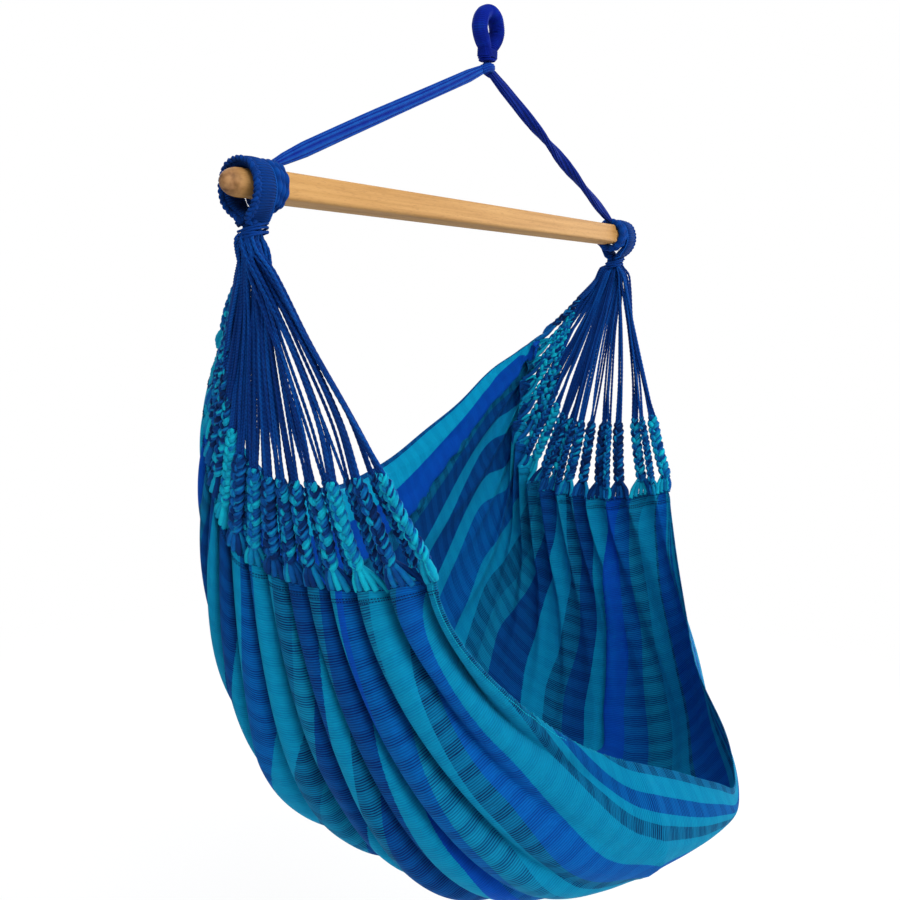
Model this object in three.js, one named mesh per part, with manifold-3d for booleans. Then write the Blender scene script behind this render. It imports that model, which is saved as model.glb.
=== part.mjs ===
// A hammock chair: a striped cloth seat that hangs by braids and cords from a wooden bar,
// and the bar hangs by two ropes from one eye.
// Millimetres, +Z up, +X along the bar. The sitter faces -Y.
// The origin is the top inside the hanging eye, where a hook bears.
import * as THREE from 'three';
import { mergeVertices } from 'three/addons/utils/BufferGeometryUtils.js';
import Module from 'manifold-3d';

const wasm = await Module();
wasm.setup();

// Clearance between pieces that touch
const seatGap = 0.3;

// Spreader bar: square, with round necks for the loops and rounded tips
const barDrop = 306;
const barLength = 1120;
const barSide = 35;
const barEdgeRadius = 4;
const barNeckLength = 85;
const barTipLength = 25;
const barRollDegrees = -11;

// Hanging eye: a loop of wrapped rope whose legs close up at its neck
const eyeThickness = 19;
const eyeWidth = 25;
const eyeNeckThickness = 16;
const eyeNeckWidth = 21;
const eyeLegSpread = 50;
const eyeLegGap = 0.6;
const eyeNeckTop = 47;
const eyeNeckEnd = 61.5;

// Thin twine that binds rope ends together
const twineDiameter = 2.2;
const twinePitch = 2.8;
const twineTurns = 4;
const twineEndMargin = 1.5;
const bindingChamfer = 4.8;

// Collar turn and knot under the eye's neck
const collarHeight = 3;
const collarDiameter = 28;
const collarEdge = 1;
const knotDiameter = 18;
const knotGap = 0.5;

// Suspension ropes and the loops that hold the bar's necks
const ropeWidth = 20;
const ropeThickness = 13;
const ropeEndThickness = 11;
const ropeInnerWidth = 13;
const ropeInnerTaper = 45;
const ropeFootTaper = 40;
const ropeFootRun = 5;
const loopWidth = 22;
const loopThickness = 15;
const loopSideGap = 1;

// Sling eyes: wrapped teardrop loops that hang on the bar's necks
const slingEyeWidth = 28;
const slingEyeThickness = 8;
const slingEyeChamfer = 2.6;
const slingEyeDrop = 50;
const slingEyeBulge = 2;
const slingEyeLean = 7;
const slingLeanStart = 24;
const slingFootRun = 7;
const slingTwineDiameter = 3;
const slingTwineTurns = 24;
const slingLegGap = 0.9;

// Bundle under each sling eye, where the cords gather
const gatherDiameter = 26;
const gatherLength = 21;
const gatherBindingDrop = 2;
const cordStartReach = 8;
const cordStartDepth = 4;
const cordStartDrop = 12;

// Sling cords and braids
const cordDiameter = 4;
const cordPairSpread = 4.2;
const crowdClearance = 1.2;
const braidCount = 16;
const braidLength = 150;
const braidWidth = 17;
const braidThickness = 9;
const braidEndWidth = 4.2;
const braidEndThickness = 4.4;
const braidTopRun = 16;
const braidFootRun = 22;
const braidFootGap = 0.45;

// Cloth seat
const clothThickness = 3;
const seatHalfWidth = 446;
const seatDepth = 500;
const seatDrop = 1036;
const pleatHeight = 11;

// Counts
const sectionSides = 8;
const twineSides = 5;
const twineStepsPerTurn = 8;
const clothRows = 60;
const clothColumns = 12;
const roundSides = 24;

// The cloth's gathered end, from its back edge to its front edge:
// place along the edge, then shares of the seat's half width, depth and drop
const hemShares = [
  [0.00, 1.000, 0.235, 0.197],
  [0.16, 0.995, 0.290, 0.288],
  [0.32, 0.978, 0.300, 0.383],
  [0.46, 0.940, 0.255, 0.470],
  [0.58, 0.905, 0.140, 0.500],
  [0.72, 0.893, 0.000, 0.504],
  [0.86, 0.880, -0.180, 0.495],
  [1.00, 0.852, -0.402, 0.463],
];

// The cloth's middle line, from its back edge to its front edge:
// place along the line, then shares of the seat's depth and drop
const middleShares = [
  [0.00, 0.600, 0.468],
  [0.06, 0.545, 0.510],
  [0.13, 0.515, 0.595],
  [0.22, 0.490, 0.712],
  [0.31, 0.420, 0.822],
  [0.40, 0.285, 0.912],
  [0.51, 0.020, 0.982],
  [0.63, -0.290, 1.000],
  [0.75, -0.590, 0.980],
  [0.85, -0.810, 0.932],
  [0.93, -0.958, 0.866],
  [1.00, -0.955, 0.798],
];

// How full the cloth hangs between its end and its middle, by place along the edge:
// the width's power, then how fast the depth and the drop are reached
const fullnessShares = [
  [0.00, 2.0, 1.3, 1.00],
  [0.15, 2.5, 2.2, 1.60],
  [0.35, 3.4, 2.8, 2.80],
  [0.60, 4.0, 2.6, 3.10],
  [0.80, 3.2, 1.8, 2.60],
  [0.92, 2.2, 1.2, 1.80],
  [1.00, 1.8, 0.8, 1.50],
];

// How the hanging eye's legs close from its neck up to its round top:
// shares of the outward step, then of the height between the top's arc and the neck
const eyeLegShares = [
  [0.00, 1.00],
  [0.42, 0.68],
  [0.86, 0.32],
  [1.00, 0.00],
];

// One leg of a sling eye from its foot to beside the bar, in shares of its reach and its drop,
// and the point halfway round to its top, in shares of its top's height
const slingEyeShares = [
  [0.42, 0.86],
  [0.78, 0.60],
  [0.98, 0.30],
  [1.00, 0.00],
];
const slingShoulderShare = 0.74;

// How much of the pleats is left in the middle of the cloth
const pleatMiddleShare = 0.15;

// Colours
const beech = new THREE.Color(0.80, 0.60, 0.36);
const cobalt = new THREE.Color(0.02, 0.12, 0.52);
const turquoise = new THREE.Color(0.02, 0.50, 0.66);
const royalBlue = new THREE.Color(0.03, 0.25, 0.58);

// Places that follow from the sizes above
const halfBar = barLength / 2;
const neckRadius = barSide / 2;
const shoulderX = halfBar - barNeckLength;
const loopX = shoulderX + loopSideGap + loopWidth / 2;
const slingOuterWidth = slingEyeWidth + 2 * (seatGap + slingTwineDiameter);
const slingOuterThickness = slingEyeThickness + 2 * (seatGap + slingTwineDiameter);
const slingX = loopX + loopWidth / 2 + loopSideGap + slingOuterWidth / 2;
const collarTop = eyeNeckEnd + seatGap;
const collarBottom = collarTop + collarHeight;
const knotCentreDrop = collarBottom + seatGap + knotDiameter / 2;
const gatherTop = barDrop + slingEyeDrop + seatGap;
const gatherBottom = gatherTop + gatherLength;
const gatherX = slingX - slingEyeLean;

const group = new THREE.Group();

function material(colour, roughness) {
  return new THREE.MeshStandardMaterial({ color: colour, roughness, metalness: 0 });
}

function addPiece(name, geometry, colour, roughness = 0.85) {
  const mesh = new THREE.Mesh(geometry, material(colour, roughness));
  mesh.name = name;
  group.add(mesh);
  return mesh;
}

// Closed bodies and joining

function weld(geometry) {
  const bare = geometry.clone();
  bare.deleteAttribute('normal');
  bare.deleteAttribute('uv');
  return mergeVertices(bare);
}

function toSolid(geometry) {
  const bare = weld(geometry);
  const mesh = new wasm.Mesh({
    numProp: 3,
    vertProperties: new Float32Array(bare.attributes.position.array),
    triVerts: new Uint32Array(bare.index.array),
  });
  mesh.merge();
  return new wasm.Manifold(mesh);
}

function fromSolid(solid) {
  const mesh = solid.getMesh();
  const geometry = new THREE.BufferGeometry();
  geometry.setAttribute('position', new THREE.BufferAttribute(mesh.vertProperties, mesh.numProp));
  geometry.setIndex(new THREE.BufferAttribute(mesh.triVerts, 1));
  return geometry;
}

function joined(geometries) {
  const solids = geometries.map(toSolid);
  return solids.reduce((whole, next) => whole.add(next));
}

// The outer skin alone, so that small hollows between crossing cords are filled
function withoutHollows(solid) {
  const skins = solid.decompose();
  return skins.reduce((largest, skin) => (skin.volume() > largest.volume() ? skin : largest));
}

function indexedGeometry(points, faces) {
  const geometry = new THREE.BufferGeometry();
  geometry.setFromPoints(points);
  geometry.setIndex(faces);
  geometry.computeVertexNormals();
  return geometry;
}

// A skin over a row of rings, closed by caps or onto itself
function skinOver(rings, ringsClose = false) {
  const sides = rings[0].length;
  const points = rings.flat();
  const faces = [];
  const spans = ringsClose ? rings.length : rings.length - 1;
  for (let i = 0; i < spans; i += 1) {
    const here = i * sides;
    const next = ((i + 1) % rings.length) * sides;
    for (let k = 0; k < sides; k += 1) {
      const side = (k + 1) % sides;
      faces.push(here + k, here + side, next + side);
      faces.push(here + k, next + side, next + k);
    }
  }
  if (!ringsClose) {
    const last = (rings.length - 1) * sides;
    for (let k = 1; k < sides - 1; k += 1) {
      faces.push(0, k + 1, k);
      faces.push(last, last + k, last + k + 1);
    }
  }
  return indexedGeometry(points, faces);
}

// Directions across a path: along it, outwards, and sideways
function crossDirections(points, outwards, closes) {
  const count = points.length;
  return points.map((point, i) => {
    const before = closes ? points[(i + count - 1) % count] : points[Math.max(i - 1, 0)];
    const after = closes ? points[(i + 1) % count] : points[Math.min(i + 1, count - 1)];
    const along = after.clone().sub(before).normalize();
    const out = outwards[i].clone();
    out.addScaledVector(along, -out.dot(along)).normalize();
    const side = along.clone().cross(out);
    return { point, out, side };
  });
}

// A body swept along a path; section(i) gives the outline's [out, side] offsets there
function sweep(points, outwards, section, closes = false) {
  const rings = crossDirections(points, outwards, closes).map(({ point, out, side }, i) => (
    section(i).map(([o, s]) => point.clone().addScaledVector(out, o).addScaledVector(side, s))
  ));
  return skinOver(rings, closes);
}

function roundSection(radius, sides) {
  return Array.from({ length: sides }, (_, k) => {
    const angle = (2 * Math.PI * k) / sides;
    return [radius * Math.cos(angle), radius * Math.sin(angle)];
  });
}

function ovalSection(thickness, width, sides) {
  return roundSection(1, sides).map(([o, s]) => [(o * thickness) / 2, (s * width) / 2]);
}

// A rectangle with cut corners, thickness first
function bandSection(thickness, width, chamfer) {
  const t = thickness / 2;
  const w = width / 2;
  return [
    [t, -(w - chamfer)], [t, w - chamfer], [t - chamfer, w], [-(t - chamfer), w],
    [-t, w - chamfer], [-t, -(w - chamfer)], [-(t - chamfer), -w], [t - chamfer, -w],
  ];
}

function smoothPath(points, steps) {
  return new THREE.CatmullRomCurve3(points, false, 'centripetal').getSpacedPoints(steps);
}

// Twine wound round a band: one unbroken tube with straight ends.
// place(t) gives the band's centre, out and side directions at share t of the winding.
function winding(name, place, section, diameter, turns) {
  const points = [];
  const outwards = [];
  const steps = turns * twineStepsPerTurn;
  for (let j = 0; j <= steps; j += 1) {
    const { centre, out, side } = place(j / steps);
    const [o, s] = section[j % section.length];
    const arm = out.clone().multiplyScalar(o).addScaledVector(side, s);
    points.push(centre.clone().add(arm));
    outwards.push(arm.clone().normalize());
  }
  const leadIn = points[0].clone().sub(points[1]).setLength(diameter);
  const leadOut = points[steps].clone().sub(points[steps - 1]).setLength(diameter);
  points.unshift(points[0].clone().add(leadIn));
  outwards.unshift(outwards[0].clone());
  points.push(points[steps + 1].clone().add(leadOut));
  outwards.push(outwards[steps + 1].clone());
  printLeastGap(name, points, diameter);
  return sweep(points, outwards, () => roundSection(diameter / 2, twineSides));
}

// The least clear distance between turns, measured on points along the tube's middle
function printLeastGap(name, points, diameter) {
  const fine = [];
  for (let i = 0; i < points.length - 1; i += 1) {
    for (let k = 0; k < twineStepsPerTurn; k += 1) {
      fine.push(points[i].clone().lerp(points[i + 1], k / twineStepsPerTurn));
    }
  }
  const halfTurn = (twineStepsPerTurn * twineStepsPerTurn) / 2;
  let least = Infinity;
  for (let i = 0; i < fine.length; i += 1) {
    for (let j = i + halfTurn; j < fine.length; j += 1) {
      least = Math.min(least, fine[i].distanceTo(fine[j]));
    }
  }
  console.log(`${name}: least gap to itself ${(least - diameter).toFixed(2)} mm`);
}

// Outline of a winding that lies on a section, one clearance and half a twine off it
function windingSection(thickness, width, chamfer, diameter) {
  const grow = 2 * seatGap + diameter;
  const corner = chamfer + (grow / 2) * (2 - Math.SQRT2);
  return bandSection(thickness + grow, width + grow, corner);
}

// Twine round an upright bundle, wound downwards from a height
function uprightWinding(name, x, top, section) {
  const length = twineTurns * twinePitch;
  const place = (t) => ({
    centre: new THREE.Vector3(x, 0, -(top + t * length)),
    out: new THREE.Vector3(0, 1, 0),
    side: new THREE.Vector3(-1, 0, 0),
  });
  return winding(name, place, section, twineDiameter, twineTurns);
}

// Spreader bar

function roundedSquare(side, radius) {
  const half = side / 2;
  const shape = new THREE.Shape();
  const corners = [[1, 1], [-1, 1], [-1, -1], [1, -1]];
  corners.forEach(([cx, cy], i) => {
    const start = (i * Math.PI) / 2;
    shape.absarc(cx * (half - radius), cy * (half - radius), radius, start, start + Math.PI / 2);
  });
  return shape;
}

function barGeometry() {
  const shape = roundedSquare(barSide, barEdgeRadius);
  const square = new THREE.ExtrudeGeometry(shape, {
    depth: 2 * shoulderX, bevelEnabled: false, curveSegments: 3,
  });
  square.translate(0, 0, -shoulderX);
  const outline = [new THREE.Vector2(0, -halfBar)];
  const tipSteps = 6;
  for (let i = 1; i <= tipSteps; i += 1) {
    const angle = (i / tipSteps) * (Math.PI / 2);
    const reach = halfBar - barTipLength + barTipLength * Math.cos(angle);
    outline.push(new THREE.Vector2(neckRadius * Math.sin(angle), -reach));
  }
  const mirrored = outline.map((p) => new THREE.Vector2(p.x, -p.y)).reverse();
  const turned = new THREE.LatheGeometry([...outline, ...mirrored], roundSides);
  turned.rotateX(Math.PI / 2);
  const bar = fromSolid(joined([square, turned]));
  bar.rotateY(Math.PI / 2);
  bar.rotateX(THREE.MathUtils.degToRad(barRollDegrees));
  bar.translate(0, 0, -barDrop);
  return bar;
}

// Hanging eye

function hangingEyeGeometry() {
  const half = eyeLegSpread / 2;
  const legX = (eyeNeckThickness + eyeLegGap) / 2;
  const arcDrop = half - eyeThickness / 2;
  const run = eyeNeckTop - arcDrop;
  const right = eyeLegShares.map(([step, height]) => (
    new THREE.Vector3(legX + (half - legX) * step, 0, -(arcDrop + run * height))
  ));
  const arc = [1, 2, 3].map((i) => {
    const angle = (i * Math.PI) / 4;
    return new THREE.Vector3(half * Math.cos(angle), 0, half * Math.sin(angle) - arcDrop);
  });
  const left = right.map((p) => new THREE.Vector3(-p.x, 0, p.z)).reverse();
  const steps = 24;
  const ends = [legX, -legX].map((x) => new THREE.Vector3(x, 0, -eyeNeckEnd));
  const path = [ends[0], ...smoothPath([...right, ...arc, ...left], steps), ends[1]];
  const outward = path.map(() => new THREE.Vector3(0, 1, 0));
  return sweep(path, outward, (i) => {
    const share = THREE.MathUtils.clamp((path[i].z + eyeNeckTop) / run, 0, 1);
    const width = THREE.MathUtils.lerp(eyeNeckWidth, eyeWidth, share);
    const thickness = THREE.MathUtils.lerp(eyeNeckThickness, eyeThickness, share);
    return ovalSection(width, thickness, sectionSides + 2);
  });
}

function hangingEyeBindingGeometry() {
  const width = 2 * eyeNeckThickness + eyeLegGap;
  const section = windingSection(eyeNeckWidth, width, bindingChamfer, twineDiameter);
  return uprightWinding('hanging_eye_binding', 0, eyeNeckTop + twineEndMargin, section);
}

function collarGeometry() {
  const radius = collarDiameter / 2;
  const outline = [
    new THREE.Vector2(0, -collarBottom),
    new THREE.Vector2(radius - collarEdge, -collarBottom),
    new THREE.Vector2(radius, -(collarBottom - collarEdge)),
    new THREE.Vector2(radius, -(collarTop + collarEdge)),
    new THREE.Vector2(radius - collarEdge, -collarTop),
    new THREE.Vector2(0, -collarTop),
  ];
  const turned = new THREE.LatheGeometry(outline, roundSides);
  turned.rotateX(Math.PI / 2);
  return turned;
}

function knotGeometry() {
  const ball = new THREE.SphereGeometry(knotDiameter / 2, sectionSides * 2, sectionSides);
  ball.translate(0, 0, -knotCentreDrop);
  return ball;
}

// Suspension ropes and loops

// A rope ends flat against its loop, above the reach of the bar's turning corners
function ropeGeometry(side) {
  const corner = (barSide / 2 - barEdgeRadius) * Math.SQRT2 + barEdgeRadius + seatGap;
  const loopTop = neckRadius + seatGap + loopThickness;
  const footWidth = loopTop - corner;
  const footX = loopX - loopWidth / 2 - seatGap;
  const foot = new THREE.Vector3(footX, 0, (loopTop + corner) / 2 - barDrop);
  const flat = foot.clone().setX(footX - ropeFootRun);
  const knot = new THREE.Vector3(0, 0, -knotCentreDrop);
  const along = flat.clone().sub(knot).normalize();
  const inner = knot.clone().addScaledVector(along, knotDiameter / 2 + knotGap);
  const path = [
    inner, inner.clone().addScaledVector(along, ropeInnerTaper),
    flat.clone().addScaledVector(along, -ropeFootTaper), flat, foot,
  ];
  const widths = [ropeInnerWidth, ropeWidth, ropeWidth, footWidth, footWidth];
  const thicknesses = [ropeEndThickness, ropeThickness, ropeThickness, ropeEndThickness, ropeEndThickness];
  path.forEach((p) => { p.x *= side; });
  const outward = path.map(() => new THREE.Vector3(0, 1, 0));
  return sweep(path, outward, (i) => ovalSection(thicknesses[i], widths[i], sectionSides + 4));
}

function loopGeometry(side) {
  const steps = 20;
  const radius = (neckRadius + seatGap + loopThickness / 2) / Math.cos(Math.PI / steps);
  const middle = new THREE.Vector3(side * loopX, 0, -barDrop);
  const path = [];
  const outward = [];
  for (let i = 0; i < steps; i += 1) {
    const angle = (2 * Math.PI * i) / steps;
    const out = new THREE.Vector3(0, Math.cos(angle), Math.sin(angle));
    path.push(middle.clone().addScaledVector(out, radius));
    outward.push(out);
  }
  const chamfer = loopThickness / 4;
  return sweep(path, outward, () => bandSection(loopThickness, loopWidth, chamfer), true);
}

// Sling eyes

function slingEyePath(side) {
  const top = neckRadius + seatGap + slingOuterThickness / 2;
  const foot = (slingOuterThickness + slingLegGap) / 2;
  const wide = top + slingEyeBulge;
  const drop = slingEyeDrop - slingFootRun;
  const leg = slingEyeShares.map(([reach, height]) => [wide * reach, -drop * height]);
  const shoulder = top * slingShoulderShare;
  const half = [[foot, -drop], ...leg, [shoulder, shoulder]];
  const mirrored = half.map(([y, z]) => [-y, z]).reverse();
  const points = [...half, [0, top], ...mirrored].map(([y, z]) => {
    const lean = THREE.MathUtils.clamp((-z - slingLeanStart) / (drop - slingLeanStart), 0, 1);
    return new THREE.Vector3(side * (slingX - lean * slingEyeLean), y, z - barDrop);
  });
  return new THREE.CatmullRomCurve3(points, false, 'centripetal');
}

function slingEyeDirections(curve, hand, t) {
  const along = curve.getTangentAt(t);
  const side = new THREE.Vector3(hand, 0, 0);
  side.addScaledVector(along, -side.dot(along)).normalize();
  const out = side.clone().cross(along).multiplyScalar(hand);
  return { centre: curve.getPointAt(t), out, side };
}

function slingEyeGeometry(side) {
  const curve = slingEyePath(side);
  const steps = 28;
  const places = Array.from({ length: steps + 1 }, (_, i) => slingEyeDirections(curve, side, i / steps));
  const foot = (place) => ({ ...place, centre: place.centre.clone().setZ(-(barDrop + slingEyeDrop)) });
  const all = [foot(places[0]), ...places, foot(places[steps])];
  const section = bandSection(slingEyeThickness, slingEyeWidth, slingEyeChamfer);
  return sweep(all.map((p) => p.centre), all.map((p) => p.out), () => section);
}

function slingEyeTwineGeometry(name, side) {
  const curve = slingEyePath(side);
  const margin = (2 * slingTwineDiameter) / curve.getLength();
  const place = (t) => slingEyeDirections(curve, side, margin + t * (1 - 2 * margin));
  const section = windingSection(slingEyeThickness, slingEyeWidth, slingEyeChamfer, slingTwineDiameter);
  return winding(name, place, section, slingTwineDiameter, slingTwineTurns);
}

function gatherBindingGeometry(name, side) {
  const reach = gatherDiameter / 2 + seatGap + twineDiameter / 2;
  const section = roundSection(reach / Math.cos(Math.PI / twineStepsPerTurn), twineStepsPerTurn);
  return uprightWinding(name, side * gatherX, gatherTop + gatherBindingDrop, section);
}

// Cloth seat

// Smooth value of one column of a table at a place along the edge
function tableValue(table, place, column) {
  let row = 0;
  while (row < table.length - 2 && place > table[row + 1][0]) row += 1;
  const slope = (i) => {
    const before = table[Math.max(i - 1, 0)];
    const after = table[Math.min(i + 1, table.length - 1)];
    return (after[column] - before[column]) / (after[0] - before[0]);
  };
  const [a, b] = [table[row], table[row + 1]];
  const span = b[0] - a[0];
  const t = (place - a[0]) / span;
  const rise = 3 * t ** 2 - 2 * t ** 3;
  const leave = (t ** 3 - 2 * t ** 2 + t) * span * slope(row);
  const arrive = (t ** 3 - t ** 2) * span * slope(row + 1);
  return a[column] + (b[column] - a[column]) * rise + leave + arrive;
}

// Smooth cloth without its pleats; turn runs from -1 at the left end to 1 at the right end
function smoothCloth(place, turn) {
  const across = Math.sin((turn * Math.PI) / 2);
  const [power, depthRate, dropRate] = [1, 2, 3].map((c) => tableValue(fullnessShares, place, c));
  const [endWidth, endDepth, endDrop] = [1, 2, 3].map((c) => tableValue(hemShares, place, c));
  const [middleDepth, middleDrop] = [1, 2].map((c) => tableValue(middleShares, place, c));
  const inner = Math.max(1 - Math.abs(across) ** power, 0);
  const depth = endDepth + (middleDepth - endDepth) * inner ** (1 / depthRate);
  const drop = endDrop + (middleDrop - endDrop) * inner ** (1 / dropRate);
  return new THREE.Vector3(
    across * endWidth * seatHalfWidth, depth * seatDepth, -(barDrop + drop * seatDrop));
}

// Direction that leaves the outer face of a cloth given as a function of place and turn
function outerDirection(cloth, place, turn) {
  const step = 0.01;
  const lowPlace = Math.max(place - step, 0);
  const highPlace = Math.min(place + step, 1);
  const lowTurn = Math.max(turn - step, -1);
  const highTurn = Math.min(turn + step, 1);
  const along = cloth(place, highTurn).sub(cloth(place, lowTurn));
  const down = cloth(highPlace, turn).sub(cloth(lowPlace, turn));
  return along.cross(down).normalize();
}

function pleatedCloth(place, turn) {
  const across = Math.abs(Math.sin((turn * Math.PI) / 2));
  const fade = THREE.MathUtils.lerp(pleatMiddleShare, 1, across ** 3);
  const wave = Math.cos(2 * Math.PI * (braidCount - 1) * place);
  const out = outerDirection(smoothCloth, place, turn);
  return smoothCloth(place, turn).addScaledVector(out, (pleatHeight / 2) * wave * fade);
}

function clothGeometry() {
  const points = [];
  const layer = (clothRows + 1) * (clothColumns + 1);
  const index = (face, row, column) => face * layer + row * (clothColumns + 1) + column;
  for (const face of [-1, 1]) {
    for (let row = 0; row <= clothRows; row += 1) {
      for (let column = 0; column <= clothColumns; column += 1) {
        const place = row / clothRows;
        const turn = (2 * column) / clothColumns - 1;
        const out = outerDirection(pleatedCloth, place, turn);
        points.push(pleatedCloth(place, turn).addScaledVector(out, (face * clothThickness) / 2));
      }
    }
  }
  const faces = [];
  const quad = (a, b, c, d) => faces.push(a, b, c, a, c, d);
  for (let row = 0; row < clothRows; row += 1) {
    for (let column = 0; column < clothColumns; column += 1) {
      const corners = (face) => [
        index(face, row, column), index(face, row, column + 1),
        index(face, row + 1, column + 1), index(face, row + 1, column),
      ];
      quad(...corners(1));
      quad(...corners(0).reverse());
    }
  }
  for (let row = 0; row < clothRows; row += 1) {
    quad(index(1, row, 0), index(1, row + 1, 0), index(0, row + 1, 0), index(0, row, 0));
    const end = clothColumns;
    quad(index(0, row, end), index(0, row + 1, end), index(1, row + 1, end), index(1, row, end));
  }
  for (let column = 0; column < clothColumns; column += 1) {
    quad(index(0, 0, column), index(0, 0, column + 1), index(1, 0, column + 1), index(1, 0, column));
    const end = clothRows;
    quad(index(1, end, column), index(1, end, column + 1), index(0, end, column + 1), index(0, end, column));
  }
  return indexedGeometry(points, faces);
}

// Braids and cords

// The cloth's end at one braid: the hem point, and the hem's outer, lengthwise and free directions
function hemPlace(side, number) {
  const place = number / (braidCount - 1);
  const step = 0.02;
  const hem = pleatedCloth(place, side);
  const out = outerDirection(pleatedCloth, place, side);
  const lower = smoothCloth(Math.max(place - step, 0), side);
  const along = smoothCloth(Math.min(place + step, 1), side).sub(lower);
  along.addScaledVector(out, -along.dot(out)).normalize();
  const free = along.clone().cross(out).multiplyScalar(side);
  return { hem, out, along, free };
}

// The line from where a braid's cords gather down to its foot on the hem
function braidLine(side, number) {
  const place = hemPlace(side, number);
  const foot = place.hem.clone().addScaledVector(place.free, braidFootGap);
  const order = 1 - (2 * number) / (braidCount - 1);
  const start = new THREE.Vector3(
    side * gatherX, order * cordStartReach, -(gatherTop + cordStartDrop));
  const up = start.clone().sub(foot).normalize();
  return { ...place, foot, start, up, reach: start.distanceTo(foot) };
}

// The least distance down a braid's line where its neighbours' lines leave it a given room
function crowdedReach(side, number, room) {
  const own = braidLine(side, number);
  const others = [number - 1, number + 1].filter((n) => n >= 0 && n < braidCount);
  const lines = others.map((n) => braidLine(side, n));
  const pointAt = (line, distance) => line.start.clone().addScaledVector(line.up, -distance);
  const free = (distance) => lines.every((line) => (
    pointAt(own, distance).distanceTo(pointAt(line, distance)) >= room
  ));
  let distance = 0;
  while (distance < own.reach && !free(distance)) distance += crowdClearance;
  return distance;
}

// One braid's top and the place where it has its full width, between its neighbours.
// Where they leave it less room above its foot, the braid is narrower.
function braidPlace(side, number) {
  const line = braidLine(side, number);
  const cordReach = (cordPairSpread + cordDiameter) / 2;
  const endRoom = braidEndWidth / 2 + cordReach + crowdClearance;
  const topReach = Math.max(line.reach - braidLength, crowdedReach(side, number, endRoom));
  const bodyReachFor = (width) => crowdedReach(side, number, width + crowdClearance);
  const lastReach = line.reach - braidFootRun - crowdClearance;
  let width = braidWidth;
  while (width > braidThickness && bodyReachFor(width) > lastReach) width -= crowdClearance / 2;
  const fullReach = Math.max(topReach + braidTopRun, bodyReachFor(width));
  const along = line.along.clone();
  along.addScaledVector(line.up, -along.dot(line.up)).normalize();
  const top = line.start.clone().addScaledVector(line.up, -topReach);
  const full = line.start.clone().addScaledVector(line.up, -fullReach);
  return { ...line, top, full, width, along, hemAlong: line.along };
}

// A braid's foot lies flat against the hem, and its top is square to its length.
// Near the gather, where the braids crowd, it narrows over a longer run.
function braidGeometry(side, number) {
  const { foot, full, top, width, up, out, along, hemAlong } = braidPlace(side, number);
  const flat = along.clone().cross(up);
  const end = ovalSection(braidEndThickness, braidEndWidth, sectionSides);
  const body = ovalSection(braidThickness, width, sectionSides);
  const ring = (centre, section, thick, wide) => (
    section.map(([o, s]) => centre.clone().addScaledVector(thick, o).addScaledVector(wide, s))
  );
  return skinOver([
    ring(foot, end, out.clone().multiplyScalar(-side), hemAlong),
    ring(foot.clone().addScaledVector(up, braidFootRun), body, flat, along),
    ring(full, body, flat, along),
    ring(top, end, flat, along),
  ]);
}

function straightCord(from, to) {
  const shape = new THREE.Shape(roundSection(cordDiameter / 2, 6).map(([x, y]) => new THREE.Vector2(x, y)));
  return new THREE.ExtrudeGeometry(shape, {
    steps: 1, bevelEnabled: false, extrudePath: new THREE.LineCurve3(from, to),
  });
}

// All cords of one end, joined where they gather
function cordsGeometry(side) {
  const radius = gatherDiameter / 2;
  const bundle = new THREE.CylinderGeometry(radius, radius, gatherLength, roundSides / 2);
  bundle.rotateX(Math.PI / 2);
  bundle.translate(side * gatherX, 0, -(gatherTop + gatherBottom) / 2);
  const pieces = [bundle];
  const lengths = [];
  for (let number = 0; number < braidCount; number += 1) {
    const { start: middle, top, up, along } = braidPlace(side, number);
    for (const hand of [-1, 1]) {
      const start = middle.clone();
      start.x += (hand * cordStartDepth) / 2;
      const end = top.clone().addScaledVector(along, (hand * cordPairSpread) / 2);
      const tilt = end.clone().sub(start).angleTo(up.clone().negate());
      end.addScaledVector(up, seatGap + (cordDiameter / 2) * Math.sin(tilt));
      pieces.push(straightCord(start, end));
      lengths.push(start.distanceTo(end));
    }
  }
  const total = lengths.reduce((sum, length) => sum + length, 0);
  console.log(`cords of one end: ${lengths.length}, ${Math.round(total)} mm in all`);
  return fromSolid(withoutHollows(joined(pieces)));
}

// The pieces

addPiece('spreader_bar', barGeometry(), beech, 0.55);
addPiece('hanging_eye', hangingEyeGeometry(), cobalt);
addPiece('hanging_eye_binding', hangingEyeBindingGeometry(), cobalt);
addPiece('rope_collar', collarGeometry(), cobalt);
addPiece('rope_knot', knotGeometry(), cobalt);
addPiece('seat_cloth', clothGeometry(), royalBlue, 0.9);
for (const [hand, side] of [['left', -1], ['right', 1]]) {
  addPiece(`suspension_rope_${hand}`, ropeGeometry(side), cobalt);
  addPiece(`suspension_loop_${hand}`, loopGeometry(side), cobalt);
  addPiece(`sling_eye_${hand}`, slingEyeGeometry(side), cobalt);
  const twineName = `sling_eye_twine_${hand}`;
  addPiece(twineName, slingEyeTwineGeometry(twineName, side), cobalt);
  const bindingName = `cord_binding_${hand}`;
  addPiece(bindingName, gatherBindingGeometry(bindingName, side), cobalt);
  addPiece(`sling_cords_${hand}`, cordsGeometry(side), cobalt);
  for (let number = 0; number < braidCount; number += 1) {
    const label = String(number + 1).padStart(2, '0');
    addPiece(`braid_${hand}_${label}`, braidGeometry(side, number), turquoise);
  }
}

export default group;
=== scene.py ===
# %% [markdown]
# # Hammock chair
# A striped cotton sling hangs by plaited braids and twisted cords from a beech spreader bar.
# Two ropes lead from the bar's ends up to one wrapped eye. This notebook dresses the packed
# frame: every piece here lies where its solid lies, in metres, with Z up and X along the bar.

# %% Load the frame
import math
import random
import bpy
import numpy as np
from mathutils import Matrix, Vector


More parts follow.
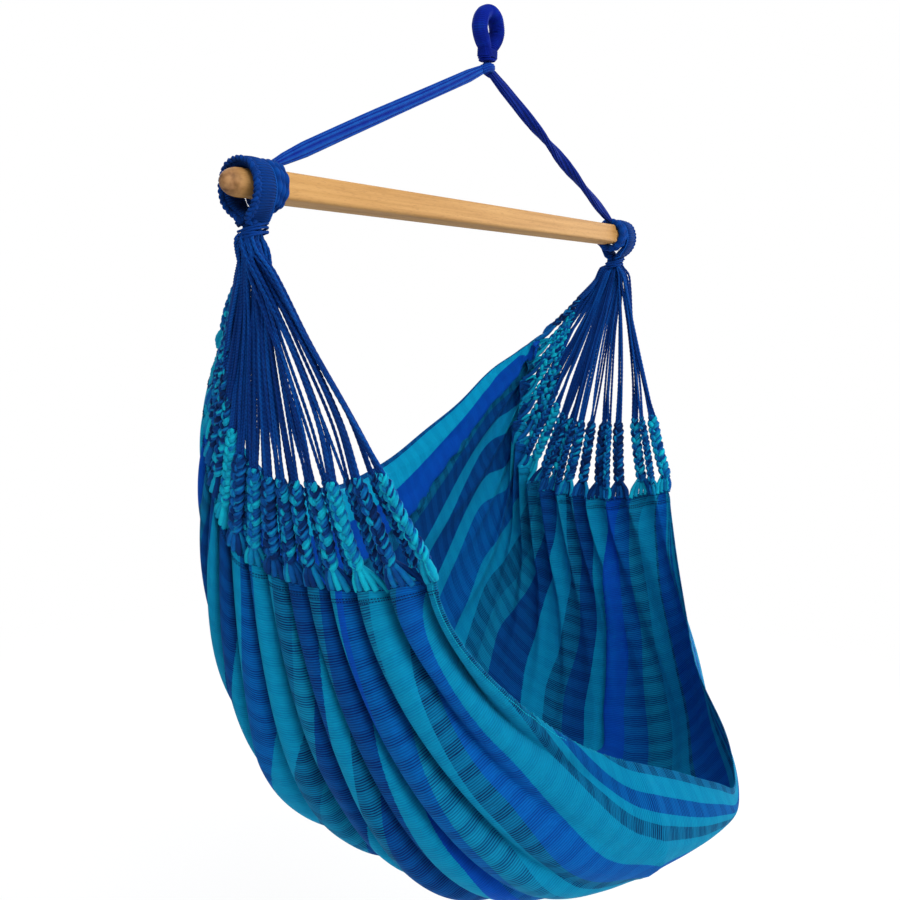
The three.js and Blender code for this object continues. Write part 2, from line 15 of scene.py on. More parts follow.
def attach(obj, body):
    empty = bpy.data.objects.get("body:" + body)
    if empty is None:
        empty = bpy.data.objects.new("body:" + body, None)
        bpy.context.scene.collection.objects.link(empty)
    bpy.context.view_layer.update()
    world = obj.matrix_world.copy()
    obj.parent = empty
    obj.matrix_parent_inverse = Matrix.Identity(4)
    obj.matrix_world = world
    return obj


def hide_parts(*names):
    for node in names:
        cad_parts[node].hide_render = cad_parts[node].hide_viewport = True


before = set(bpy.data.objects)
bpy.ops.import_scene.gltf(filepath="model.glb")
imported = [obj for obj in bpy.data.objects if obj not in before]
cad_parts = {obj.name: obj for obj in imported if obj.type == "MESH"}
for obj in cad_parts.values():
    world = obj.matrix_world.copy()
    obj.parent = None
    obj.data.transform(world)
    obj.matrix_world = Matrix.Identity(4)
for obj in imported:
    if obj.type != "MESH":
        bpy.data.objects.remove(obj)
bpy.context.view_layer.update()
draws = random.Random(7)

# %% [markdown]
# ## Camera, light and room
# The camera stands left of the chair, a little above its bar's end, and looks slightly down.
# The room is a pale floor under soft, even light, so that the dyes show as they are.
# The alternative is a lit backdrop, but a plain white world gives softer folds.

# %% Camera
lens_mm, sensor_mm = 39.93, 36.0
yaw, pitch, roll = (math.radians(a) for a in (55.747, 9.365, 2.091))
eye_point = Vector((-1.3974, -0.9075, -0.4179))


def show(name, data):
    """Puts a camera, a lamp or a mesh into the scene."""
    made = bpy.data.objects.new(name, data)
    bpy.context.scene.collection.objects.link(made)
    return made


gaze = Vector((math.sin(yaw) * math.cos(pitch), math.cos(yaw) * math.cos(pitch),
               -math.sin(pitch)))
level = Vector((math.cos(yaw), -math.sin(yaw), 0))
upright = level.cross(gaze)
right_way = level * math.cos(roll) + upright * math.sin(roll)
up_way = upright * math.cos(roll) - level * math.sin(roll)
camera_data = bpy.data.cameras.new("camera")
camera_data.lens, camera_data.sensor_width = lens_mm, sensor_mm
camera_data.clip_start, camera_data.clip_end = 0.05, 60
camera = show("camera", camera_data)
turn = Matrix((right_way, up_way, -gaze)).transposed()
camera.matrix_world = Matrix.Translation(eye_point) @ turn.to_4x4()
bpy.context.scene.camera = camera
bpy.context.scene.view_settings.view_transform = "Standard"
print("camera at", [round(x, 3) for x in eye_point], "lens", lens_mm)


# %% Node helpers
def new_material(name):
    made = bpy.data.materials.new(name)
    made.use_nodes = True
    tree = made.node_tree
    return made, tree, next(n for n in tree.nodes if n.type == "BSDF_PRINCIPLED")


def feed(tree, socket, value):
    """Links a socket to a node's output, or sets it to a plain value."""
    if isinstance(value, bpy.types.NodeSocket):
        tree.links.new(value, socket)
    else:
        socket.default_value = value


def feed_all(tree, node, inputs):
    for socket, value in inputs.items():
        feed(tree, node.inputs[socket], value)


def add_node(tree, kind, inputs=(), **settings):
    node = tree.nodes.new("ShaderNode" + kind)
    for key, value in settings.items():
        setattr(node, key, value)
    feed_all(tree, node, dict(inputs))
    return node


def calc(tree, operation, first, second=0.5, third=None):
    values = {0: first, 1: second}
    if third is not None:
        values[2] = third
    return add_node(tree, "Math", values, operation=operation).outputs[0]


def blend(tree, share, first, second, how="MIX"):
    node = add_node(tree, "Mix", data_type="RGBA", blend_type=how)
    values = {"Factor_Float": share, "A_Color": first, "B_Color": second}
    for socket in node.inputs:
        if socket.identifier in values:
            feed(tree, socket, values[socket.identifier])
    return next(o for o in node.outputs if o.identifier == "Result_Color")


def stretch(tree, value, low, high, new_low=0.0, new_high=1.0):
    """Maps a span of values onto a new one."""
    return add_node(tree, "MapRange", {"Value": value, "From Min": low, "From Max": high,
                                       "To Min": new_low, "To Max": new_high}).outputs[0]


def noise(tree, where, scale, detail=2.0):
    inputs = {"Vector": where, "Scale": scale, "Detail": detail}
    return add_node(tree, "TexNoise", inputs).outputs["Fac"]


def run_of(tree, name):
    return add_node(tree, "Attribute", attribute_name=name).outputs["Fac"]


def place_in(tree):
    return add_node(tree, "TexCoord").outputs["Object"]


def dye_steps(tree, share, stops, how="CONSTANT"):
    node = add_node(tree, "ValToRGB", {0: share})
    ramp = node.color_ramp
    ramp.interpolation = how
    while len(ramp.elements) < len(stops):
        ramp.elements.new(0.5)
    for element, (place, colour) in zip(ramp.elements, stops):
        element.position = place
    for element, (place, colour) in zip(ramp.elements, stops):
        element.color = (*colour, 1)
    return node.outputs[0]


def bump(tree, shader, height, strength, distance):
    node = add_node(tree, "Bump", {"Height": height, "Strength": strength, "Distance": distance})
    feed(tree, shader.inputs["Normal"], node.outputs[0])


print("helpers ready")

# %% World and floor
plain_white = (1, 1, 1, 1)
sky_tint, sky_strength = (0.93, 0.96, 1, 1), 0.50
world = bpy.data.worlds.new("room")
bpy.context.scene.world = world
world.use_nodes = True
sky = world.node_tree
sky.nodes.clear()
rays = add_node(sky, "LightPath").outputs
direct = calc(sky, "MAXIMUM", rays["Is Camera Ray"], rays["Is Glossy Ray"])
direct = calc(sky, "MAXIMUM", direct, rays["Is Transmission Ray"])
lit = add_node(sky, "Background", {"Color": sky_tint, "Strength": sky_strength})
white = add_node(sky, "Background", {"Color": plain_white, "Strength": 1.0})
both = add_node(sky, "MixShader", {0: direct, 1: lit.outputs[0], 2: white.outputs[0]})
add_node(sky, "OutputWorld", {0: both.outputs[0]})

floor_drop, floor_reach = -1.86, 9.0
fade_start, fade_end, fade_low = 1.9, 3.4, 0.78
floor_mesh = bpy.data.meshes.new("floor")
floor_mesh.from_pydata([(x * floor_reach, y * floor_reach, floor_drop)
                        for x, y in ((-1, -1), (1, -1), (1, 1), (-1, 1))], [], [(0, 1, 2, 3)])
floor = show("floor", floor_mesh)
floor_paint, tree, shader = new_material("pale_floor")
feed_all(tree, shader, {"Base Color": (0.9, 0.9, 0.9, 1), "Roughness": 0.8})
glow = add_node(tree, "Emission", {"Color": plain_white, "Strength": 1.0})
seen = add_node(tree, "LightPath").outputs["Is Camera Ray"]
far_off = add_node(tree, "VectorMath", {0: place_in(tree)}, operation="LENGTH").outputs["Value"]
share = calc(tree, "MULTIPLY", seen, stretch(tree, far_off, fade_start, fade_end, fade_low))
pale = add_node(tree, "MixShader", {0: share, 1: shader.outputs[0], 2: glow.outputs[0]})
feed(tree, tree.nodes["Material Output"].inputs[0], pale.outputs[0])
floor_mesh.materials.append(floor_paint)
print("floor at", floor_drop, "m, sky at", sky_strength)

# %% Lamps
# Name, place, size in metres and power in watts
lamps = [
    ("key", (-2.1, -2.2, 2.7), 1.9, 84),
    ("fill", (-0.5, -3.1, 1.1), 2.6, 52),
    ("back", (1.6, 2.6, 0.8), 2.6, 60),
    ("side", (2.8, -0.5, -0.2), 2.4, 60),
]
chair_middle = Vector((0, 0, -0.85))
for name, place, size, power in lamps:
    lamp_data = bpy.data.lights.new(name, "AREA")
    lamp_data.shape, lamp_data.size, lamp_data.energy = "DISK", size, power
    lamp = show(name, lamp_data)
    lamp.location = place
    lamp.rotation_euler = (chair_middle - lamp.location).to_track_quat("-Z", "Y").to_euler()
print("lamps:", [lamp[0] for lamp in lamps])

# %% [markdown]
# ## Sizes shared with the solids
# The frame's source gives these sizes in millimetres. They are written here once, in metres,
# so that a rope, loop or braid of this notebook starts and ends on the same points.

# %% Sizes
mm = 0.001
bar_drop, bar_length, bar_side = 306 * mm, 1120 * mm, 35 * mm
edge_radius, neck_length, tip_length = 4 * mm, 85 * mm, 25 * mm
bar_roll = math.radians(-11)
neck_radius = bar_side / 2
half_bar = bar_length / 2
loop_x, sling_x, gather_x = 487 * mm, 516.3 * mm, 509.3 * mm
knot_drop, gather_top = 74.1 * mm, 356.3 * mm
seat_half_width, seat_depth, seat_drop = 446 * mm, 500 * mm, 1036 * mm
sides_named = (("left", -1), ("right", 1))
print("bar", bar_length, "m long,", bar_side, "m square")


# %% Mesh helpers
def unit(vectors):
    return vectors / np.maximum(np.linalg.norm(vectors, axis=-1, keepdims=True), 1e-12)


def run_along(path):
    return np.concatenate([[0], np.cumsum(np.linalg.norm(np.diff(path, axis=0), axis=1))])


def smooth_line(points, count, closed=False):
    """A smooth line through points, as count points at even steps."""
    points = np.asarray(points, float)
    if closed:
        padded = np.vstack([points[-1:], points, points[:2]])
    else:
        padded = np.vstack([2 * points[0] - points[1], points, 2 * points[-1] - points[-2]])
    knots = np.concatenate([[0], np.cumsum(np.linalg.norm(np.diff(padded, axis=0), axis=1) ** 0.5)])
    line = []
    for i in range(1, len(padded) - 2):
        t0, t1, t2, t3 = knots[i - 1:i + 3]
        t = np.linspace(t1, t2, 40, endpoint=False)[:, None]
        a1 = (t1 - t) / (t1 - t0) * padded[i - 1] + (t - t0) / (t1 - t0) * padded[i]
        a2 = (t2 - t) / (t2 - t1) * padded[i] + (t - t1) / (t2 - t1) * padded[i + 1]
        a3 = (t3 - t) / (t3 - t2) * padded[i + 1] + (t - t2) / (t3 - t2) * padded[i + 2]
        b1 = (t2 - t) / (t2 - t0) * a1 + (t - t0) / (t2 - t0) * a2
        b2 = (t3 - t) / (t3 - t1) * a2 + (t - t1) / (t3 - t1) * a3
        line.append((t2 - t) / (t2 - t1) * b1 + (t - t1) / (t2 - t1) * b2)
    line = np.vstack(line + [padded[-2:-1]])
    runs = run_along(line)
    even = np.linspace(0, runs[-1], count + 1)[:-1] if closed else np.linspace(0, runs[-1], count)
    return np.stack([np.interp(even, runs, line[:, k]) for k in range(3)], 1)


def directions(path, outward, closed=False):
    """Unit directions along, out of and across a path."""
    if closed:
        along = unit(np.roll(path, -1, 0) - np.roll(path, 1, 0))
    else:
        along = unit(np.gradient(path, axis=0))
    outward = np.broadcast_to(np.asarray(outward, float), path.shape)
    out = unit(outward - (outward * along).sum(1, keepdims=True) * along)
    return along, out, np.cross(along, out)


def ease(value, low, high):
    t = np.clip((value - low) / (high - low), 0, 1)
    return t * t * (3 - 2 * t)


def hump(value, middle, size):
    """A smooth hill, one high at its middle."""
    return np.exp(-((value - middle) / size) ** 2)


def empty_bag():
    return {"points": [], "faces": [], "run": [], "dye": [], "count": 0}


def put_rings(bag, rings, run, dye, closed=False):
    """Adds a skin over rings, an array of ring by corner by xyz, with its run and dye values."""
    count, corners = rings.shape[:2]
    start = bag["count"]
    index = np.arange(count * corners).reshape(count, corners) + start
    nexts = np.roll(index, -1, 0) if closed else index[1:]
    here = index if closed else index[:-1]
    quads = np.stack([here, np.roll(here, -1, 1), np.roll(nexts, -1, 1), nexts], -1).reshape(-1, 4)
    bag["faces"] += quads.tolist()
    if not closed:
        bag["faces"] += [index[0][::-1].tolist(), index[-1].tolist()]
    bag["points"].append(rings.reshape(-1, 3))
    bag["run"].append(np.broadcast_to(np.asarray(run)[:, None], (count, corners)).ravel())
    bag["dye"].append(np.broadcast_to(dye, (count, corners)).ravel())
    bag["count"] += count * corners


def put_tube(bag, path, outward, section, dye=0.0, closed=False):
    """Sweeps a section, corner by (out, across), or one for each ring, along a path."""
    along, out, across = directions(path, outward, closed)
    section = np.asarray(section, float)
    if section.ndim == 2:
        section = np.broadcast_to(section, (len(path), *section.shape))
    rings = path[:, None] + section[..., :1] * out[:, None] + section[..., 1:] * across[:, None]
    put_rings(bag, rings, run_along(path), dye, closed)


def circle_angles(corners):
    return np.arange(corners) * 2 * math.pi / corners


def squared_off(angle, power):
    """The cosine and sine of an angle, pushed out towards a square."""
    cos, sin = np.cos(angle), np.sin(angle)
    return np.sign(cos) * np.abs(cos) ** power, np.sign(sin) * np.abs(sin) ** power


def round_section(high, wide, angle):
    return np.stack([high * np.cos(angle), wide * np.sin(angle)], -1)


def lay_section(radius, run, pitch, corners, plies=2, depth=0.34, wide=1.0, start=0.0):
    """Rings of a cord laid up of plies that turn once in each pitch."""
    angle = circle_angles(corners)[None]
    twist = (2 * math.pi * np.asarray(run) / pitch + start)[:, None]
    bulge = np.abs(np.cos((angle - twist) * plies / 2))
    reach_out = np.broadcast_to(np.asarray(radius, float).reshape(-1, 1), twist.shape)
    reach_out = reach_out * (1 - depth + depth * bulge)
    return np.stack([reach_out * np.cos(angle), reach_out * np.sin(angle) * wide], -1)


def new_piece(name, points, faces, values, paint, body, slot, *nodes):
    """A smooth mesh that rides on a body and stands for these nodes of the frame."""
    mesh = bpy.data.meshes.new(name)
    mesh.from_pydata(points.tolist(), [], faces)
    for key, numbers in values.items():
        layer = mesh.attributes.new(key, "FLOAT", "POINT")
        layer.data.foreach_set("value", numbers.astype(np.float32))
    mesh.polygons.foreach_set("use_smooth", [True] * len(mesh.polygons))
    mesh.materials.append(paint)
    mesh.update()
    piece = show(name, mesh)
    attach(piece, body)
    if nodes:
        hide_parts(*nodes)
    return piece


def piece_of(name, bag, paint, body, slot, *nodes):
    values = {key: np.concatenate(bag[key]) for key in ("run", "dye")}
    points = np.vstack(bag["points"])
    return new_piece(name, points, bag["faces"], values, paint, body, slot, *nodes)


print("mesh helpers ready")

# %% [markdown]
# ## Dyes and yarns
# Everything but the bar is dyed cotton. One recipe serves all cords: a base dye, painted shade
# in the grooves between plies, fine fibre noise, and a soft sheen. On several cords the dye value
# also carries painted shade. A picture of yarn could be wrapped round each cord, but a pattern
# that follows the run of the cord never stretches.

# %% Dye colours
turquoise = (0.002, 0.270, 0.440)
royal = (0.002, 0.075, 0.360)
ink = (0.001, 0.010, 0.055)
cobalt = (0.001, 0.036, 0.215)
deep_cobalt = (0.001, 0.013, 0.270)
rope_blue = (0.003, 0.036, 0.270)
sheen_tint = (0.15, 0.45, 0.9, 1)


def grey(tree, tone):
    return add_node(tree, "CombineColor", {0: tone, 1: tone, 2: tone}).outputs[0]


def yarn_paint(name, stops, groove_shade=0.5, sheen=0.10, pitch=None):
    """Cotton yarn: dye by its dye value, painted shade in the grooves by fine bands, and fibre
    noise.
    """
    paint, tree, shader = new_material(name)
    where = place_in(tree)
    run, dye = run_of(tree, "run"), run_of(tree, "dye")
    slub, fibre = noise(tree, where, 60.0, 3.0), noise(tree, where, 700.0)
    shifted = calc(tree, "MULTIPLY_ADD", calc(tree, "SUBTRACT", slub, 0.5), 0.28, dye)
    colour = dye_steps(tree, shifted, stops, "LINEAR")
    tone = calc(tree, "MULTIPLY_ADD", fibre, 0.5, 0.75)
    height = fibre
    # Painted shade: bands at the rib pitch darken the grooves between the ribs.
    if pitch:
        wave = calc(tree, "SINE", calc(tree, "MULTIPLY", run, 2 * math.pi / pitch), 0)
        wave = calc(tree, "MULTIPLY_ADD", wave, 0.5, 0.5)
        tone = calc(tree, "MULTIPLY", tone, calc(tree, "MULTIPLY_ADD", wave, groove_shade, 1 - groove_shade))
        height = calc(tree, "ADD", wave, calc(tree, "MULTIPLY", height, 0.4))
    feed_all(tree, shader, {
        "Base Color": blend(tree, 1.0, colour, grey(tree, tone), "MULTIPLY"),
        "Roughness": 0.85, "Specular IOR Level": 0.08, "Sheen Weight": sheen,
        "Sheen Roughness": 0.4, "Sheen Tint": sheen_tint})
    bump(tree, shader, height, 0.5, 0.0004)
    return paint


plain_stops = [(0, ink), (0.5, cobalt), (1, royal)]
eye_rib, sling_rib = 2.6 * mm, 3.1 * mm
cobalt_yarn = yarn_paint("cobalt_yarn", plain_stops)
ribbed_yarn = yarn_paint("ribbed_cobalt", plain_stops, pitch=sling_rib, groove_shade=0.55)
eye_yarn = yarn_paint("eye_yarn", [(0, ink), (0.5, deep_cobalt), (1, royal)],
                      pitch=eye_rib, groove_shade=0.35)
fan_yarn = yarn_paint("fan_yarn", [
    (0.10, ink), (0.5, (0.001, 0.026, 0.165)), (0.9, (0.002, 0.075, 0.340))], sheen=0.04)
rope_yarn = yarn_paint("rope_yarn", [
    (0.05, ink), (0.28, (0.001, 0.010, 0.190)), (0.50, rope_blue), (0.9, (0.008, 0.11, 0.42))])
braid_yarn = yarn_paint("braid_yarn", [
    (0.02, ink), (0.26, (0.001, 0.030, 0.150)), (0.46, (0.002, 0.100, 0.350)),
    (0.64, turquoise), (1, (0.004, 0.46, 0.60))])
print("yarn paints: 6")

# %% [markdown]
# ## Suspension ropes
# Each rope is a flat bundle of parallel cords, about 20 mm wide. It leaves the knot under the
# eye, runs straight to its end of the bar, and opens there into the loop round the bar's neck.
# Both ends are held, so the rope is taut: its length is the straight run, about half a metre.

# %% Rope route
corner_reach = (bar_side / 2 - edge_radius) * math.sqrt(2) + edge_radius + 0.3 * mm
loop_top = neck_radius + 15.3 * mm
foot_width = loop_top - corner_reach
foot_x = loop_x - 11.3 * mm


def rope_line(side):
    foot = np.array([foot_x, 0, (loop_top + corner_reach) / 2 - bar_drop])
    knot = np.array([0, 0, -knot_drop])
    along = unit(foot - np.array([5 * mm, 0, 0]) - knot)
    start = knot + along * 9.5 * mm
    points = [start, start + along * 45 * mm, foot - along * 200 * mm, foot - along * 45 * mm, foot]
    line = smooth_line(points, 160)
    line[:, 0] *= side
    return line


rope_strands = 5


def rope_section(run, width, thickness, twist, corners=80):
    """A flat section that shows the bundle's cords, and a share for each corner that paints shade
    between the cords and light on their crests.
    """
    angle = circle_angles(corners)[None]
    share = (np.asarray(run) / run[-1])[:, None]
    drift = 1.1 * np.sin(5 * share) + 2.2 * share
    bulge = np.abs(np.cos(rope_strands * angle + drift))
    ripple = 0.80 + 0.20 * bulge ** 0.7
    flat_out, flat_across = squared_off(angle, 0.75)
    flat_out = flat_out * ripple * thickness[:, None] / 2
    flat_across = flat_across * ripple * width[:, None] / 2
    lean = 2 * math.pi * twist * ease(share, 0.06, 0.94)
    out = flat_out * np.cos(lean) - flat_across * np.sin(lean)
    across = flat_out * np.sin(lean) + flat_across * np.cos(lean)
    return np.stack([out, across], -1), bulge


width_stops = [0, 0.09, 0.55, 0.88, 0.96, 1]
rope_widths = [13, 19, 21, 20, 15, foot_width / mm]
# Turns of twist, the base tone and the contrast of the cords of each rope. The base tones are
# painted light: the left rope is a lit copy and the right rope a shaded copy of one cord; the
# contrast is painted shade between the cords.
rope_lit_and_shaded_looks = {"left": (0, 0.56, 0.42), "right": (1, 0.27, 0.26)}
for hand, side in sides_named:
    line = rope_line(side)
    run = run_along(line)
    share = run / run[-1]
    width = np.interp(share, width_stops, rope_widths) * mm
    thick = np.interp(share, [0, 0.1, 0.9, 1], [11, 12.5, 12.5, 11]) * mm
    twist, tone, contrast = rope_lit_and_shaded_looks[hand]
    bag = empty_bag()
    section, bulge = rope_section(run, width, thick, twist)
    # Painted light and shade: lighter on each cord's crest, darker between the cords, on the rope's
    # painted lit or shaded tone.
    put_tube(bag, line, (0, 1, 0), section, tone + contrast * (bulge - 0.7))
    rope = piece_of(f"rope_{hand}", bag, rope_yarn, "rope_pair", "cobalt_cord",
                    f"suspension_rope_{hand}")

# %% [markdown]
# ## Loops round the bar's necks
# The rope's end is folded round the neck, so that the loop is a ring of bulging folds. A plain
# ring would look like rubber: three parallel turns with slanting folds show soft cord instead.

# %% Suspension loops
loop_shifts = (-6.6, 0, 6.6)
ring_radius = neck_radius + 8.1 * mm
angle = circle_angles(200)
corners = circle_angles(16)
for hand, side in sides_named:
    bag = empty_bag()
    out = np.stack([0 * angle, np.cos(angle), np.sin(angle)], 1)
    for number, shift in enumerate(loop_shifts):
        folds = 0.5 + 0.5 * np.cos(11 * angle + number * 1.3 + 0.6 * np.sin(3 * angle))
        middle = np.array([side * (loop_x + shift * mm), 0, -bar_drop])
        path = middle + out * (ring_radius + 0.7 * mm * folds)[:, None]
        high = (5.6 + 0.9 * folds)[:, None] * mm
        wide = (4.1 + 0.45 * folds)[:, None] * mm
        # Painted shade: the dye is lighter on each fold's crest and darker between the folds.
        tone = 0.30 + 0.3 * folds[:, None] + 0.05 * number
        put_tube(bag, path, out, round_section(high, wide, corners), tone, closed=True)
    piece_of(f"loop_{hand}", bag, cobalt_yarn, "rope_pair", "cobalt_cord",
             f"suspension_loop_{hand}")
print("loops: 2, turns of each:", len(loop_shifts))

# %% [markdown]
# ## Spreader bar
# A square beech bar, 35 mm on a side, with its edges broken by hand. Each end is turned to a
# round neck for the loops and closes in a round nose. It is swept as one skin, from nose to
# nose, so that the shoulder shows a real step. The finish is long grain with fine dark flecks,
# and the noses show darker end grain.

# %% Bar shape
def square_ring(radius, softness, corners=48):
    angle = circle_angles(corners) + math.pi / corners
    flat = neck_radius - softness
    x, y = np.cos(angle), np.sin(angle)
    reach_out = np.ones(corners)
    for step in range(40):
        px, py = x * reach_out, y * reach_out
        past_x, past_y = np.maximum(np.abs(px) - flat, 0), np.maximum(np.abs(py) - flat, 0)
        reach_out -= np.hypot(past_x, past_y) - softness
        if step == 0:
            reach_out = np.full(corners, neck_radius)
    return np.stack([x * reach_out, y * reach_out], -1) * radius / neck_radius


corners = 48
angle = circle_angles(corners) + math.pi / corners
round_ring = np.stack([np.cos(angle), np.sin(angle)], -1) * neck_radius
squared = square_ring(neck_radius, edge_radius)
shoulder = half_bar - neck_length
places, rings = [], []
for k in range(13):
    bend = math.pi / 2 * k / 12
    places.append(half_bar - tip_length + tip_length * math.cos(bend))
    rings.append(round_ring * max(math.sin(bend), 0.02))
for place in np.linspace(half_bar - tip_length, shoulder + 0.4 * mm, 8)[1:]:
    places.append(place)
    rings.append(round_ring)
for step, shrink in ((0.1, 0.93), (-0.6, 0.985), (-1.6, 1.0)):
    places.append(shoulder + step * mm)
    rings.append(squared * shrink)
for place in np.linspace(shoulder - 4 * mm, 0, 20):
    places.append(place)
    rings.append(squared)
places = np.array(places)
rings = np.array(rings)
places = np.concatenate([-places, places[-2::-1]])
rings = np.concatenate([rings, rings[-2::-1]])
cos_roll, sin_roll = math.cos(bar_roll), math.sin(bar_roll)
ring_y = rings[..., 0] * cos_roll - rings[..., 1] * sin_roll
ring_z = rings[..., 0] * sin_roll + rings[..., 1] * cos_roll
full = np.stack([np.broadcast_to(places[:, None], ring_y.shape), ring_y, ring_z - bar_drop], -1)
bar_bag = empty_bag()
put_rings(bar_bag, full, places, 0.5)
print("bar rings:", len(places), "corners:", corners)


# %% Beech finish
pale_tones = [(0.28, (0.39, 0.190, 0.050)), (0.48, (0.50, 0.262, 0.080)),
              (0.72, (0.58, 0.320, 0.108))]
end_tones = [(0.36, (0.12, 0.050, 0.018)), (0.5, (0.27, 0.13, 0.050)), (0.66, (0.42, 0.22, 0.09))]
fleck_tone = (0.24, 0.10, 0.030, 1)
end_from, end_to = 32 * mm, 6 * mm


def beech_paint():
    paint, tree, shader = new_material("beech")
    where = place_in(tree)
    long_grain = add_node(tree, "Mapping", {"Vector": where, "Scale": (4.0, 160.0, 160.0)})
    flecks = add_node(tree, "Mapping", {"Vector": where, "Scale": (90.0, 1100.0, 1100.0)})
    grain = noise(tree, long_grain.outputs[0], 1.0, 6.0)
    fleck = noise(tree, flecks.outputs[0], 1.0)
    tone = dye_steps(tree, grain, pale_tones, "LINEAR")
    spots = calc(tree, "MULTIPLY", calc(tree, "GREATER_THAN", fleck, 0.61), 0.30)
    tone = blend(tree, spots, tone, fleck_tone)
    far = calc(tree, "ABSOLUTE", add_node(tree, "SeparateXYZ", {0: where}).outputs[0])
    end = stretch(tree, far, half_bar - end_from, half_bar - end_to)
    end_tone = dye_steps(tree, noise(tree, where, 70.0, 5.0), end_tones, "LINEAR")
    feed_all(tree, shader, {"Base Color": blend(tree, end, tone, end_tone),
                            "Roughness": 0.6, "Specular IOR Level": 0.2})
    bump(tree, shader, calc(tree, "MULTIPLY_ADD", fleck, 0.5, grain), 0.25, 0.0004)
    return paint


piece_of("bar", bar_bag, beech_paint(), "bar", "beech_wood", "spreader_bar")
print("bar length:", round(2 * half_bar, 3), "m")

# %% [markdown]
# ## Hanging eye, collar and knot
# The eye is a rope loop served with thin twine: the left leg shows the rope's lengthwise lay,
# the top and the right leg show the twine's close cross ribs. Ribs are real rings here, since
# the eye stands against the sky and its outline shows each rib.

# %% Hanging eye
eye_thickness, eye_width, neck_thickness, neck_width = 19 * mm, 25 * mm, 16 * mm, 21 * mm
eye_spread, eye_neck_top, eye_neck_end = 50 * mm, 47 * mm, 61.5 * mm
half = eye_spread / 2
leg_x = (neck_thickness + 0.6 * mm) / 2
arc_drop = half - eye_thickness / 2
leg_run = eye_neck_top - arc_drop
leg = [(leg_x + (half - leg_x) * step, -(arc_drop + leg_run * height))
       for step, height in ((0, 1), (0.42, 0.68), (0.86, 0.32), (1, 0))]
arc = [(half * math.cos(a), half * math.sin(a) - arc_drop)
       for a in (math.pi / 4, math.pi / 2, 0.75 * math.pi)]
foot = [(leg_x, -eye_neck_end)]
outline = foot + leg + arc + [(-x, z) for x, z in leg[::-1]] + [(-x, z) for x, z in foot]
line = smooth_line([(x, 0, z) for x, z in outline], 420)
run = run_along(line)
height_share = np.clip((line[:, 2] + eye_neck_top) / leg_run, 0, 1)
wide = neck_width + (eye_width - neck_width) * height_share
thick = neck_thickness + (eye_thickness - neck_thickness) * height_share
ribbed = 1 / (1 + np.exp((-line[:, 0] - 10 * mm) / (2.5 * mm)))
corners = circle_angles(40)
rib = 0.5 * mm * ribbed[:, None] * np.cos(2 * math.pi * run / eye_rib)[:, None]
strands = np.abs(np.cos(5 * corners[None] + run[:, None] * 24)) - 0.5
lay = 0.8 * mm * (1 - ribbed)[:, None] * strands
grow = rib + lay + 0.8 * mm * height_share[:, None]
full_leg = 1.6 * mm * hump(height_share, 0.35, 0.35)[:, None]
section = round_section(wide[:, None] / 2 + grow + full_leg,
                        thick[:, None] / 2 + grow + 0.5 * full_leg, corners)
bag = empty_bag()
put_tube(bag, line, (0, 1, 0), section, (0.5 + 0.05 * np.sin(run * 300))[:, None])
piece_of("eye", bag, eye_yarn, "hanger", "cobalt_cord", "hanging_eye")
print("eye rings:", len(line))


# %% Twine windings
def winding(name, node, x, top, depth, width, twine, turns, pitch, body, tilt, paint, tail=None):
    """Twine that winds down round an upright bundle, with a loose tail if one is given."""
    share = np.arange(turns * 40 + 1) / 40
    out, across = squared_off(2 * math.pi * share, 0.62)
    out, across = out * (depth + twine) / 2, across * (width + twine) / 2
    lean = tilt * (1 + 0.5 * np.sin(1.9 * share))
    drop = -(top + share * pitch) - lean * (across * 0.56 + out * 0.83)
    path = np.stack([x - across, out, drop], 1)
    outward = np.stack([-across, out, 0 * out], 1)
    bag = empty_bag()
    section = lay_section(twine / 2, run_along(path), 7 * mm, 10, 2, 0.22)
    put_tube(bag, path, outward, section, 0.46)
    if tail is not None:
        loose = smooth_line(tail, 24)
        section = lay_section(twine * 0.4, run_along(loose), 7 * mm, 8, 2, 0.22)
        put_tube(bag, loose, (0, 0, 1), section, 0.4)
    piece_of(name, bag, paint, body, "cobalt_cord", node)
    print(name, "turns:", turns)


winding("eye_binding", "hanging_eye_binding", 0.0, 48.0 * mm, 21.4 * mm, 33.0 * mm,
        1.7 * mm, 7, 1.68 * mm, "hanger", 0, eye_yarn)
thread_end = np.array([[-521.5, 2, -367], [-526, 5, -366.5], [-530, 7, -369], [-532, 8, -373]]) * mm
for hand, side in sides_named:
    winding(f"whipping_{hand}", f"cord_binding_{hand}", side * gather_x, 356.6 * mm, 26.9 * mm,
            28.6 * mm, 3.5 * mm, 4, 3.2 * mm, "seat", 0.30, cobalt_yarn,
            thread_end if side < 0 else None)

# %% Collar and knot
collar_drop = 63.3
# Radius of the turn, radius of its cord, corners, plies and depth of the lay
collar_turns = [(12.2, 1.75, 12, 2, 0.25), (8.6, 1.75, 12, 2, 0.25), (5.0, 1.7, 12, 2, 0.25),
                (1.7, 1.6, 8, 1, 0.0)]
angle = circle_angles(120)
out = np.stack([np.cos(angle), np.sin(angle), 0 * angle], 1)
bag = empty_bag()
for turn_radius, cord_radius, corners, plies, depth in collar_turns:
    path = out * turn_radius * mm + np.array([0, 0, -collar_drop * mm])
    section = lay_section(cord_radius * mm, run_along(path), 5 * mm, corners, plies, depth)
    put_tube(bag, path, out, section, 0.5, closed=True)
piece_of("collar", bag, eye_yarn, "turning_collar", "cobalt_cord", "rope_collar")

